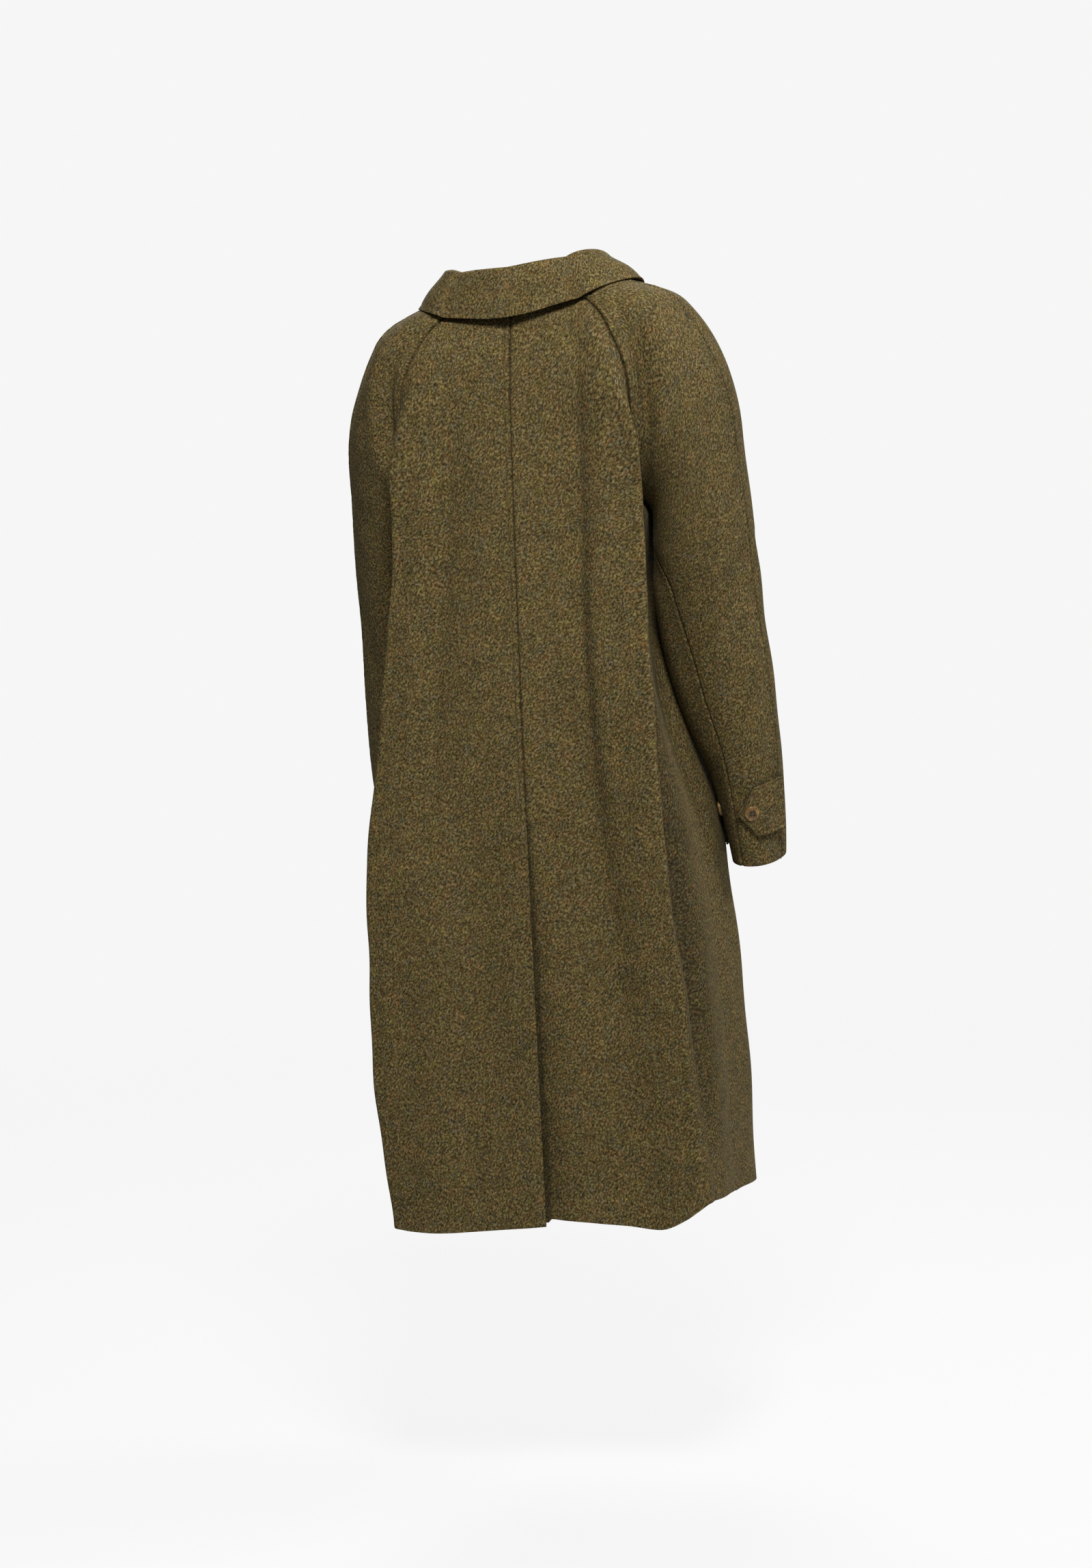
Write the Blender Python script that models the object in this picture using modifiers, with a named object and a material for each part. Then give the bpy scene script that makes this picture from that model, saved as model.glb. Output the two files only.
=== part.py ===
"""Long raglan coat: vented back, two-piece sleeves, turned-down collar, cuff tabs and welt pockets."""
import bpy
import numpy as np
from mathutils import Vector

# Sizes in metres: +X is the wearer's left, -Y the front, +Z up, origin amid the neck, level with the shoulders
CLOTH = 0.0025
TINY = 1e-12
FULL_TURN = 360.0
SEAM_GAP = 0.0003
LAY_GAP = 0.0004
FRONT_LAP = 0.040
VENT_LAP = 0.045
VENT_OPEN = 0.009
LAP_FADE = 0.060
LAP_CLEAR = 0.030
FOLD_LOW_Y = 0.060
FOLD_BLEND_Y = 0.040
WELT_LIFT = 0.0010
SHOULDER_DROP = 0.090
HEM_DROP = 0.030
COAT_LENGTH = 1.200
COLLAR_ROLL = 0.0045
TAB_HALF_WIDTH = 0.034
TAB_STATION = 1.852
TAB_CORNER_ANGLE = 66.0
TAB_TIP_ANGLE = 97.0
TAB_BLUNT = 0.06
TAB_SEAM_CLEAR = 0.4
TAB_CELLS = (5, 3, 4)
SLEEVE_PER_STATION = 0.50
CUFF_BUTTON_ANGLE = 73.0
SPARE_BUTTON_ANGLE = -206.0
CUFF_BUTTON_SIZE = 0.020
SPARE_SHANK = 0.0009
FRONT_BUTTON_SIZE = 0.026
FRONT_BUTTON_LIFT = 0.0009
BUTTON_THICKNESS = 0.0038
BUTTON_EDGE = 0.0010
BUTTON_SIDES = 24
NEAR_STEP = 0.001
WELT_CELLS = (6, 4)
WELT_STATIONS = (1.30, 1.52)
WELT_TOP_ACROSS = (0.36, 0.53)
WELT_LOW_ACROSS = (0.47, 0.63)
VENT_TOP = 1.42
BODY_CELLS = 11
SLEEVE_CELLS = 7

# Rows of the cloth, from 0 at the neck through 1 at the underarm to 2 at hem or cuff
UPPER_ROWS = np.linspace(0, 1, 10)
LOWER_ROWS = np.concatenate([np.linspace(1, VENT_TOP, 5)[1:], np.linspace(VENT_TOP, 2, 6)[1:]])
ROWS = np.concatenate([UPPER_ROWS, LOWER_ROWS])
UNDERARM = len(UPPER_ROWS) - 1
VENT_ROW = UNDERARM + 4


def table(columns, *rows):
    """A short table as named columns; the first column is the station."""
    return dict(zip(columns.split(), np.array(rows, float).T))


# Rings of the left sleeve: centre, half width, half depths, slopes of the ring and how far round its cloth goes
SLEEVE = table(
    "station x y z width back front tilt lean cover",
    (0.00, 0.0620, -0.006, -0.016, 0.030, 0.056, 0.058, 30, -13, 90),
    (0.25, 0.1100, -0.012, -0.052, 0.055, 0.092, 0.092, 46, -10, 90),
    (0.50, 0.1470, -0.018, -0.110, 0.089, 0.116, 0.110, 50, -6, 92),
    (0.75, 0.1780, -0.030, -0.186, 0.096, 0.110, 0.108, 45, 0, 118),
    (1.00, 0.2020, -0.047, -0.262, 0.074, 0.090, 0.090, 36, 5, 180),
    (1.25, 0.2040, -0.068, -0.390, 0.066, 0.078, 0.078, 12, 9, 120),
    (1.50, 0.2150, -0.092, -0.512, 0.061, 0.070, 0.072, 5, 11, 109),
    (1.75, 0.2330, -0.118, -0.640, 0.045, 0.066, 0.068, 3, 12, 107),
    (2.00, 0.2370, -0.146, -0.765, 0.034, 0.064, 0.066, 2, 13, 106),
)

# The overarm seam lies behind the outermost line by these angles
SEAM_TURN = table(
    "station left right",
    (0.00, 14, 14),
    (0.60, 32, 16),
    (1.20, 22, 14),
    (2.00, 12, 12),
)

# Back sections: centre line, the fold where the back turns to the side, its sharpness and the hollow beyond
BACK = table(
    "station y z fold_x fold_y fold_drop sharp hollow_x hollow_y left_spread",
    (0.00, 0.073, -0.007, 0.030, 0.073, 0.000, 1.0, -0.018, 0.010, 0.000),
    (0.25, 0.094, -0.066, 0.060, 0.100, 0.000, 1.0, -0.022, 0.008, 0.000),
    (0.50, 0.106, -0.130, 0.105, 0.116, 0.000, 1.2, -0.016, 0.014, 0.000),
    (0.75, 0.114, -0.215, 0.178, 0.121, 0.000, 2.2, 0.000, 0.022, -0.004),
    (1.00, 0.120, -0.310, 0.192, 0.128, 0.000, 2.6, -0.013, 0.045, 0.000),
    (1.25, 0.130, -0.530, 0.208, 0.142, 0.000, 2.4, 0.002, 0.060, 0.020),
    (1.50, 0.134, -0.750, 0.222, 0.150, 0.000, 2.2, 0.004, 0.070, 0.036),
    (1.75, 0.136, -0.975, 0.230, 0.148, 0.002, 2.0, 0.003, 0.070, 0.036),
    (2.00, 0.138, -1.197, 0.234, 0.142, 0.018, 1.8, 0.002, 0.070, 0.020),
)

# Front sections, laid out in the same way
FRONT = table(
    "station y z fold_x fold_y fold_drop sharp hollow_x hollow_y left_spread",
    (0.00, -0.098, -0.085, 0.036, -0.094, 0.000, 1.0, -0.012, -0.012, 0.000),
    (0.25, -0.128, -0.130, 0.060, -0.126, 0.000, 1.0, -0.022, -0.010, 0.000),
    (0.50, -0.146, -0.180, 0.096, -0.148, 0.000, 1.2, -0.016, -0.016, 0.000),
    (0.75, -0.156, -0.240, 0.136, -0.160, 0.000, 1.5, -0.004, -0.026, 0.000),
    (1.00, -0.162, -0.310, 0.158, -0.166, 0.000, 2.0, -0.011, -0.036, 0.000),
    (1.25, -0.168, -0.530, 0.184, -0.174, 0.000, 2.2, -0.003, -0.060, 0.000),
    (1.50, -0.174, -0.750, 0.226, -0.182, 0.000, 2.0, 0.002, -0.060, 0.000),
    (1.75, -0.180, -0.975, 0.243, -0.190, 0.000, 1.8, 0.003, -0.060, 0.000),
    (2.00, -0.186, -1.205, 0.247, -0.196, 0.004, 1.8, 0.002, -0.060, 0.000),
)

# Side seam below the underarm, drawn in where the arm rests
SIDE = table(
    "station x y z",
    (1.12, 0.1280, -0.042, -0.410),
    (1.25, 0.1400, -0.036, -0.530),
    (1.50, 0.1900, -0.031, -0.750),
    (1.75, 0.2080, -0.029, -0.975),
    (2.00, 0.2130, -0.026, -1.190),
)

# Soft troughs down the back: side, distances from the centre, heights of the ends, half width and depth
BACK_FOLDS = table(
    "side upper_x lower_x upper_z lower_z half_width depth",
    (-1, 0.078, 0.108, -0.06, -1.05, 0.030, 0.0065),
    (1, 0.086, 0.140, -0.20, -0.70, 0.026, 0.0040),
)

# Collar sections from the centre back round to the front edge, measured from the neck seam
COLLAR = table(
    "along stand roll_out edge_out edge_rise",
    (0.00, 0.034, 0.006, 0.030, -0.026),
    (0.25, 0.033, 0.008, 0.042, -0.012),
    (0.50, 0.029, 0.012, 0.060, -0.004),
    (0.75, 0.020, 0.012, 0.062, -0.022),
    (1.00, 0.010, 0.008, 0.054, -0.062),
)
COLLAR_FRONT_GAP = 0.004
COLLAR_BASE_GAP = 0.0009
COLLAR_CELLS = 30

# Points up the stand and over the roll: shares of the stand's lean and height, and roll sizes out and up
COLLAR_ROLL_POINTS = table(
    "lean height out up",
    (0.5, 0.6, 0.0, 0.0),
    (1.0, 1.0, 0.0, 0.0),
    (1.0, 1.0, 0.5, 0.7),
    (1.0, 1.0, 1.6, 0.7),
    (1.0, 1.0, 2.6, -0.3),
)
COLLAR_FALL_MIDDLE = 0.55

FRONT_BUTTON_HEIGHTS = (-0.205, -0.365, -0.525, -0.685)

COLOURS = {
    "cloth": (0.075, 0.056, 0.026, 1.0),
    "horn": (0.110, 0.055, 0.022, 1.0),
}


def read(source, column, at):
    """One column of a table on a smooth curve through its rows, without overshoot."""
    stations = source[next(iter(source))]
    values = source[column]
    step = np.diff(stations)
    rise = np.diff(values) / step
    slope = np.zeros_like(values)
    same = rise[:-1] * rise[1:] > 0
    with np.errstate(divide="ignore", invalid="ignore"):
        mean = 2 * rise[:-1] * rise[1:] / (rise[:-1] + rise[1:])
    slope[1:-1] = np.where(same, mean, 0)
    slope[0] = rise[0]
    slope[-1] = rise[-1]
    at = np.asarray(at, float)
    i = np.clip(np.searchsorted(stations, at, side="right") - 1, 0, len(step) - 1)
    p = (at - stations[i]) / step[i]
    start = (2 * p**3 - 3 * p**2 + 1) * values[i] + (p**3 - 2 * p**2 + p) * step[i] * slope[i]
    end = (3 * p**2 - 2 * p**3) * values[i + 1] + (p**3 - p**2) * step[i] * slope[i + 1]
    return start + end


def ring(station, angle):
    """Points on the left sleeve's rings; the angle runs from the outermost line, positive to the back."""
    turn = np.radians(angle)
    tilt = np.radians(read(SLEEVE, "tilt", station))
    lean = np.radians(read(SLEEVE, "lean", station))
    depth = np.where(np.sin(turn) >= 0, read(SLEEVE, "back", station), read(SLEEVE, "front", station))
    out = read(SLEEVE, "width", station) * np.cos(turn)
    deep = depth * np.sin(turn)
    x = read(SLEEVE, "x", station) + out * np.cos(tilt)
    y = read(SLEEVE, "y", station) + deep * np.cos(lean)
    z = read(SLEEVE, "z", station) + out * np.sin(tilt) - deep * np.sin(lean)
    return np.stack([x, y, z], -1)


def reach(face, rows):
    """The angle where a sleeve half ends: the raglan seam above the underarm, the under seam below it."""
    cover = read(SLEEVE, "cover", rows)
    if face == "back":
        return cover
    return np.where(rows > 1, cover - FULL_TURN, -cover)


def sleeve_grid(face, side):
    """One half of a sleeve, from the overarm seam to the raglan or under seam."""
    rows = ROWS[:, None]
    across = np.linspace(0, 1, SLEEVE_CELLS + 1)[None, :]
    first = read(SEAM_TURN, side, rows)
    last = reach(face, rows)
    return ring(rows + 0 * across, first + (last - first) * across)


def side_edge(face, rows):
    """The edge of a body panel away from its centre: raglan seam down to the underarm, side seam below it."""
    upper = np.minimum(rows, 1)
    raglan = ring(upper, reach(face, upper))
    under = ring(np.array(1.0), np.array(180.0))
    seam = {"station": np.append(1.0, SIDE["station"])}
    for axis, name in enumerate("xyz"):
        seam[name] = np.append(under[axis], SIDE[name])
    below = np.stack([read(seam, name, np.maximum(rows, 1)) for name in "xyz"], -1)
    return np.where((rows <= 1)[:, None], raglan, below)


def body_rows(face, side, rows, across):
    """Points of a body panel on its left-hand form; across runs from 0 at the centre to 1 at the side."""
    source = BACK if face == "back" else FRONT
    rows = np.asarray(rows, float)
    centre = np.stack([0 * rows, read(source, "y", rows), read(source, "z", rows)], -1)
    edge = side_edge(face, rows)
    spread = read(source, "left_spread", rows) * (side == "left")
    fold_z = (centre[:, 2] + edge[:, 2]) / 2 - read(source, "fold_drop", rows)
    fold = np.stack([read(source, "fold_x", rows) + spread, read(source, "fold_y", rows), fold_z], -1)
    hollow = edge + np.stack([read(source, "hollow_x", rows), read(source, "hollow_y", rows), 0 * rows], -1)
    sharp = read(source, "sharp", rows)[:, None, None]
    q = across[None, :, None]
    weights = [(1 - q) ** 3, 3 * sharp * q * (1 - q) ** 2, 3 * q**2 * (1 - q), q**3]
    total = sum(weights)
    points = sum(w * p[:, None] for w, p in zip(weights, (centre, fold, hollow, edge))) / total
    if face == "back":
        points[..., 1] -= fold_depth(points, side)
    return points


def fold_depth(points, side):
    """How far the soft troughs down the back lie in."""
    sign = 1 if side == "left" else -1
    depth = np.zeros(points.shape[:-1])
    for row in zip(*BACK_FOLDS.values()):
        fold = dict(zip(BACK_FOLDS, row))
        if fold["side"] != sign:
            continue
        run = (points[..., 2] - fold["upper_z"]) / (fold["lower_z"] - fold["upper_z"])
        middle = fold["upper_x"] + (fold["lower_x"] - fold["upper_x"]) * run
        fade = np.clip(4 * run * (1 - run), 0, 1) * np.clip((points[..., 1] - FOLD_LOW_Y) / FOLD_BLEND_Y, 0, 1)
        depth += fold["depth"] * fade * np.exp(-((points[..., 0] - middle) / fold["half_width"]) ** 2)
    return depth


def normals(points, hint):
    """Outward unit normals of a grid; hint is the outward way at its middle row's first column."""
    cross = np.cross(np.gradient(points, axis=0), np.gradient(points, axis=1))
    cross /= np.maximum(np.linalg.norm(cross, axis=-1, keepdims=True), TINY)
    middle = cross[len(points) // 2, 0]
    return cross if middle @ np.array(hint) > 0 else -cross


def share(first, second):
    """Two panels that meet at a seam take the same normal along it."""
    mean = first + second
    mean /= np.maximum(np.linalg.norm(mean, axis=-1, keepdims=True), TINY)
    first[...] = mean
    second[...] = mean


def pose(points):
    """Let the left shoulder hang lower than the right, less so towards the hem."""
    points = np.array(points, float)
    high = np.clip(1 + points[..., 2] / COAT_LENGTH, 0, 1)
    points[..., 2] -= (HEM_DROP + (SHOULDER_DROP - HEM_DROP) * high) * points[..., 0]
    return points


def wall(name, outer, inner, keep=None):
    """A closed wall between two grids of points; keep marks the cells that are cut from the cloth."""
    rows, columns = outer.shape[:2]
    if keep is None:
        keep = np.ones((rows - 1, columns - 1), bool)
    count = rows * columns
    vertices = np.concatenate([outer.reshape(-1, 3), inner.reshape(-1, 3)])
    framed = np.pad(keep, 1)
    faces = []
    for r in range(rows - 1):
        for c in range(columns - 1):
            if not keep[r, c]:
                continue
            corners = [r * columns + c, r * columns + c + 1, (r + 1) * columns + c + 1, (r + 1) * columns + c]
            faces.append(corners)
            faces.append([k + count for k in reversed(corners)])
            beside = [framed[r, c + 1], framed[r + 1, c + 2], framed[r + 2, c + 1], framed[r + 1, c]]
            for k, joined in enumerate(beside):
                if not joined:
                    a = corners[k]
                    b = corners[(k + 1) % 4]
                    faces.append([b, a, a + count, b + count])
    mesh = bpy.data.meshes.new(name)
    mesh.from_pydata(vertices.tolist(), [], faces)
    finish(name, mesh)


def finish(name, mesh, colour="cloth"):
    """Close the mesh, turn its faces out and give it its own material."""
    thing = bpy.data.objects.new(name, mesh)
    coat.objects.link(thing)
    bpy.ops.object.select_all(action="DESELECT")
    bpy.context.view_layer.objects.active = thing
    thing.select_set(True)
    bpy.ops.object.mode_set(mode="EDIT")
    bpy.ops.mesh.select_all(action="SELECT")
    bpy.ops.mesh.delete_loose()
    bpy.ops.mesh.select_all(action="SELECT")
    bpy.ops.mesh.quads_convert_to_tris()
    bpy.ops.mesh.normals_make_consistent(inside=False)
    bpy.ops.object.mode_set(mode="OBJECT")
    dress(thing, colour)


def dress(thing, colour):
    """A material of its own for one piece."""
    material = bpy.data.materials.new(thing.name)
    material.use_nodes = True
    shader = material.node_tree.nodes["Principled BSDF"]
    shader.inputs["Base Color"].default_value = COLOURS[colour]
    shader.inputs["Roughness"].default_value = 0.9 if colour == "cloth" else 0.35
    shader.inputs["Metallic"].default_value = 0.0
    thing.data.materials.append(material)


def cut_back(points, edge, amount):
    """Move one edge column of a grid inwards along its rows."""
    inside = 1 if edge == 0 else -2
    way = points[:, inside] - points[:, edge]
    way /= np.maximum(np.linalg.norm(way, axis=-1, keepdims=True), TINY)
    return amount * way


def sew(name, points, out, gaps, keep=None):
    """Build one panel: its outer face, its inner face a cloth's thickness in, and its seam edges drawn back."""
    outer = points.copy()
    inner = points - CLOTH * out
    for edge in gaps:
        move = cut_back(points, edge, SEAM_GAP / 2 if edge == 0 else SEAM_GAP)
        outer[:, edge] += move
        inner[:, edge] += move
    wall(name, pose(outer), pose(inner), keep)


def mirrored(points, side):
    """Left-hand points moved to the side they belong to."""
    return points * np.array([1.0 if side == "left" else -1.0, 1.0, 1.0])


def body_panels():
    """The four body panels and the four sleeve halves, with shared normals along their seams."""
    panel = {}
    out = {}
    plain = np.linspace(0, 1, BODY_CELLS + 1)
    for side in ("left", "right"):
        sign = 1.0 if side == "left" else -1.0
        for face, hint in (("back", (0, 1, 0)), ("front", (0, -1, 0))):
            key = face + "_" + side
            panel[key] = mirrored(body_rows(face, side, ROWS, plain), side)
            out[key] = normals(panel[key], hint)
            key = "sleeve_" + key
            panel[key] = mirrored(sleeve_grid(face, side), side)
            out[key] = normals(panel[key], (sign, 0, 0))
        for face in ("back", "front"):
            body = out[face + "_" + side]
            arm = out["sleeve_" + face + "_" + side]
            share(body[:UNDERARM, -1], arm[:UNDERARM, -1])
        share(out["sleeve_back_" + side][:, 0], out["sleeve_front_" + side][:, 0])
        share(out["back_" + side][UNDERARM:, -1], out["front_" + side][UNDERARM:, -1])
        share(out["sleeve_back_" + side][UNDERARM:, -1], out["sleeve_front_" + side][UNDERARM:, -1])
    for face in ("back", "front"):
        share(out[face + "_left"][:, 0], out[face + "_right"][:, 0])
    return panel, out


def past_centre(points, values, lap):
    """Values of a panel mirrored past the centre line, at the lap's edge and half way to it."""
    columns = []
    for distance in (lap, lap / 2):
        column = []
        for row, value in zip(np.abs(points[..., 0]), values):
            column.append([np.interp(distance, row, value[:, axis]) for axis in range(3)])
        columns.append(column)
    return np.swapaxes(np.array(columns), 0, 1) * np.array([-1.0, 1.0, 1.0])


def add_lap(points, out, lap, sink, away, clear):
    """Add a lap past the centre line to a panel, sunk under its neighbour; away is the lap's way."""
    wide = np.concatenate([past_centre(points, points, lap), points], 1)
    wide_out = np.concatenate([past_centre(points, out, lap), out], 1)
    near = np.clip(1 - (-away * wide[..., 0] - clear) / LAP_FADE, 0, 1)
    near = near * near * (3 - 2 * near)
    return wide - wide_out * (sink[:, None] * near)[..., None], wide_out


def build_panels():
    """Every large piece of cloth."""
    panel, out = body_panels()
    for side in ("left", "right"):
        for face in ("back", "front"):
            key = "sleeve_" + face + "_" + side
            sew(key, panel[key], out[key], (0, -1))
    sew("back_left", panel["back_left"], out["back_left"], (0, -1))

    # The right back goes under the left below the vent top
    down = np.clip((ROWS - VENT_TOP) / (2 - VENT_TOP), 0, 1)
    under = CLOTH + LAY_GAP
    sink = np.where(ROWS >= VENT_TOP, under + VENT_OPEN * down, 0)
    points, way = add_lap(panel["back_right"], out["back_right"], VENT_LAP, sink, 1, 0)
    keep = np.ones((len(ROWS) - 1, points.shape[1] - 1), bool)
    keep[:VENT_ROW, :2] = False
    move = cut_back(points[:, 2:], 0, SEAM_GAP / 2)
    points[:VENT_ROW, 2] += move[:VENT_ROW]
    sew("back_right", points, way, (-1,), keep)

    # The right front goes under the left all the way down
    clear = FRONT_LAP + LAP_CLEAR
    sink = under + 2 * LAY_GAP + 0 * ROWS
    points, way = add_lap(panel["front_right"], out["front_right"], FRONT_LAP, sink, 1, clear)
    sew("front_right", points, way, (-1,))
    points, way = add_lap(panel["front_left"], out["front_left"], FRONT_LAP, 0 * ROWS, -1, 0)
    sew("front_left", points, way, (-1,))
    return panel, out


def neck_line(panel):
    """The neck seam of one side from the centre back to the centre front, on the left-hand form."""
    back = panel["back_left"][0]
    rear = panel["sleeve_back_left"][0][::-1]
    fore = panel["sleeve_front_left"][0]
    front = panel["front_left"][0][::-1]
    line = np.concatenate([back, rear[1:], fore[1:], front[1:]])
    along = np.concatenate([[0], np.cumsum(np.linalg.norm(np.diff(line, axis=0), axis=1))])
    even = np.linspace(0, along[-1] - COLLAR_FRONT_GAP, COLLAR_CELLS // 2 + 1)
    return np.stack([np.interp(even, along, line[:, axis]) for axis in range(3)], -1)


def build_collar(panel):
    """Stand, roll and turned-down fall in one piece round the neck."""
    half = neck_line(panel)
    along = np.linspace(0, 1, len(half))
    run = np.gradient(half, axis=0)
    out = np.stack([-run[:, 1], run[:, 0], 0 * run[:, 0]], -1)
    out[0] = (0, 1, 0)
    out[-1] = (0, -1, 0)
    out /= np.linalg.norm(out, axis=1, keepdims=True)

    def place(away, rise):
        return half + away[:, None] * out + rise[:, None] * np.array([0.0, 0.0, 1.0])

    stand = read(COLLAR, "stand", along)
    lean = read(COLLAR, "roll_out", along)
    edge = read(COLLAR, "edge_out", along)
    drop = read(COLLAR, "edge_rise", along)
    zero = 0 * along
    section = [place(zero, zero + COLLAR_BASE_GAP)]
    for part, height, forward, up in zip(*COLLAR_ROLL_POINTS.values()):
        section.append(place(lean * part + forward * COLLAR_ROLL, stand * height + up * COLLAR_ROLL))
    middle = COLLAR_FALL_MIDDLE
    section.append(place((lean + 2 * COLLAR_ROLL + edge) * middle, (stand + drop) * middle))
    section.append(place(edge, drop))
    left = np.stack(section, 1)
    right = left[:0:-1] * np.array([-1.0, 1.0, 1.0])
    whole = np.concatenate([right, left])
    way = normals(whole, (0, -1, 0))
    wall("collar", pose(whole), pose(whole + CLOTH * way))


def surface_frame(where):
    """A point on a surface with the way square to it; where finds points near it by two small steps."""
    down = where(NEAR_STEP, 0) - where(-NEAR_STEP, 0)
    along = where(0, NEAR_STEP) - where(0, -NEAR_STEP)
    way = np.cross(down, along)
    return where(0, 0), way / np.linalg.norm(way)


def on_sleeve(side, station, angle):
    """A finder for points near one place of a sleeve's true rings, after the pose."""
    def where(down, turn):
        return pose(mirrored(ring(np.array(station + down), np.array(angle + turn)), side))
    return where


def on_sleeve_front(side, grid, station, angle):
    """A finder for points near one place of a sleeve front as it is built, after the pose."""
    first = float(read(SEAM_TURN, side, station))
    last = float(reach("front", np.array(station)))
    column = (angle - first) / (last - first) * SLEEVE_CELLS
    row = np.interp(station, ROWS, np.arange(len(ROWS)))

    def where(down, over):
        return pose(on_panel(grid, np.array(row + down), np.array(column + over)))
    return where


def build_tab(side):
    """The pointed cuff tab, sewn into the overarm seam and laid round the back of the sleeve."""
    first = float(read(SEAM_TURN, side, TAB_STATION)) + TAB_SEAM_CLEAR
    straight, pointed, wide = TAB_CELLS
    angles = np.concatenate([
        np.linspace(first, TAB_CORNER_ANGLE, straight + 1),
        np.linspace(TAB_CORNER_ANGLE, TAB_TIP_ANGLE, pointed + 1)[1:],
    ])
    taper = np.clip((TAB_TIP_ANGLE - angles) / (TAB_TIP_ANGLE - TAB_CORNER_ANGLE), TAB_BLUNT, 1)
    across = np.linspace(-1, 1, wide + 1)
    stations = TAB_STATION + TAB_HALF_WIDTH / SLEEVE_PER_STATION * taper[:, None] * across[None, :]
    points = mirrored(ring(stations, angles[:, None] + 0 * stations), side)
    way = normals(points, (1 if side == "left" else -1, 0, 0))
    wall("cuff_tab_" + side, pose(points + (LAY_GAP + CLOTH) * way), pose(points + LAY_GAP * way))


def on_panel(grid, row, column):
    """A point of a panel at fractional row and column numbers."""
    r = np.clip(np.floor(row).astype(int), 0, grid.shape[0] - 2)
    c = np.clip(np.floor(column).astype(int), 0, grid.shape[1] - 2)
    down = (row - r)[..., None]
    over = (column - c)[..., None]
    near = grid[r, c] * (1 - over) + grid[r, c + 1] * over
    far = grid[r + 1, c] * (1 - over) + grid[r + 1, c + 1] * over
    return near * (1 - down) + far * down


def build_welt(side, grid):
    """A slanted welt laid on the front panel."""
    part = np.linspace(0, 1, WELT_CELLS[0] + 1)[:, None]
    over = np.linspace(0, 1, WELT_CELLS[1] + 1)[None, :]
    station = WELT_STATIONS[0] + (WELT_STATIONS[1] - WELT_STATIONS[0]) * part
    row = np.interp(station, ROWS, np.arange(len(ROWS)))
    near = WELT_TOP_ACROSS[0] + (WELT_LOW_ACROSS[0] - WELT_TOP_ACROSS[0]) * part
    far = WELT_TOP_ACROSS[1] + (WELT_LOW_ACROSS[1] - WELT_TOP_ACROSS[1]) * part
    column = (near + (far - near) * over) * BODY_CELLS
    points = on_panel(grid, row + 0 * over, column)
    way = normals(points, (0, -1, 0))
    wall("pocket_welt_" + side, pose(points + (WELT_LIFT + CLOTH) * way), pose(points + WELT_LIFT * way))


def build_button(name, point, way, size, lift):
    """A round button with softened edges, standing off a surface by lift."""
    bpy.ops.mesh.primitive_cylinder_add(vertices=BUTTON_SIDES, radius=size / 2, depth=BUTTON_THICKNESS)
    button = bpy.context.active_object
    button.name = name
    button.data.name = name
    button.rotation_mode = "QUATERNION"
    button.rotation_quaternion = Vector(way).to_track_quat("Z", "Y")
    button.location = Vector(point) + Vector(way) * (lift + BUTTON_THICKNESS / 2)
    bpy.ops.object.transform_apply(location=True, rotation=True, scale=True)
    soften = button.modifiers.new("soft edge", "BEVEL")
    soften.width = BUTTON_EDGE
    soften.segments = 1
    soften.limit_method = "ANGLE"
    for owner in list(button.users_collection):
        owner.objects.unlink(button)
    coat.objects.link(button)
    dress(button, "horn")


def build_buttons(panel, out):
    """Cuff buttons on the tabs, spare ones on the sleeves' inner side, and the front row."""
    for side in ("left", "right"):
        sign = 1 if side == "left" else -1
        lift = 2 * LAY_GAP + CLOTH
        point, way = surface_frame(on_sleeve(side, TAB_STATION, CUFF_BUTTON_ANGLE))
        if way[1] < 0:
            way = -way
        build_button("cuff_button_" + side, point, way, CUFF_BUTTON_SIZE, lift)
        grid = panel["sleeve_front_" + side]
        point, way = surface_frame(on_sleeve_front(side, grid, TAB_STATION, SPARE_BUTTON_ANGLE))
        if way[0] * sign > 0:
            way = -way
        build_button("spare_button_" + side, point, way, CUFF_BUTTON_SIZE, SPARE_SHANK)
    for count, height in enumerate(FRONT_BUTTON_HEIGHTS, 1):
        row = np.interp(-height, -panel["front_left"][:, 0, 2], np.arange(len(ROWS)))
        point = on_panel(panel["front_left"], np.array(row), np.array(0.0))
        way = on_panel(out["front_left"], np.array(row), np.array(0.0))
        way[0] = 0
        way /= np.linalg.norm(way)
        build_button(f"front_button_{count}", pose(point), way, FRONT_BUTTON_SIZE, FRONT_BUTTON_LIFT)


for old in list(bpy.data.objects):
    bpy.data.objects.remove(old)
coat = bpy.data.collections.new("oversized_coat")
bpy.context.scene.collection.children.link(coat)
panels, outward = build_panels()
build_collar(panels)
for hand in ("left", "right"):
    build_tab(hand)
    build_welt(hand, panels["front_" + hand])
build_buttons(panels, outward)
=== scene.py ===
import math

import bmesh
import bpy
import numpy as np
from mathutils import Matrix, Vector


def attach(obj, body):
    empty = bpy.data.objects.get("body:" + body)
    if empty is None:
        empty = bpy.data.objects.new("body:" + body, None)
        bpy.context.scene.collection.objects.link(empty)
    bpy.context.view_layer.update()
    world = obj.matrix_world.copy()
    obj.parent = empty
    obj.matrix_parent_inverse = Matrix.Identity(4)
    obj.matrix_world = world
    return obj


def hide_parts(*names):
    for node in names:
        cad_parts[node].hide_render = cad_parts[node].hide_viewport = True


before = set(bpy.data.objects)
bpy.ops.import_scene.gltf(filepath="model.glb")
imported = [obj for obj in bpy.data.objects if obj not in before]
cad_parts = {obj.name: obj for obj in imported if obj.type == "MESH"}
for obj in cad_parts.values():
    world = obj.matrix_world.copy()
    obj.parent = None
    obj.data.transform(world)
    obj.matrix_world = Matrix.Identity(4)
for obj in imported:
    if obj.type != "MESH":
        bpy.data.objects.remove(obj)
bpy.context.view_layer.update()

# Sizes in metres: +X the wearer's left, -Y the front, +Z up, origin amid the neck at the shoulders' height
CLOTH = 0.0025
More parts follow.
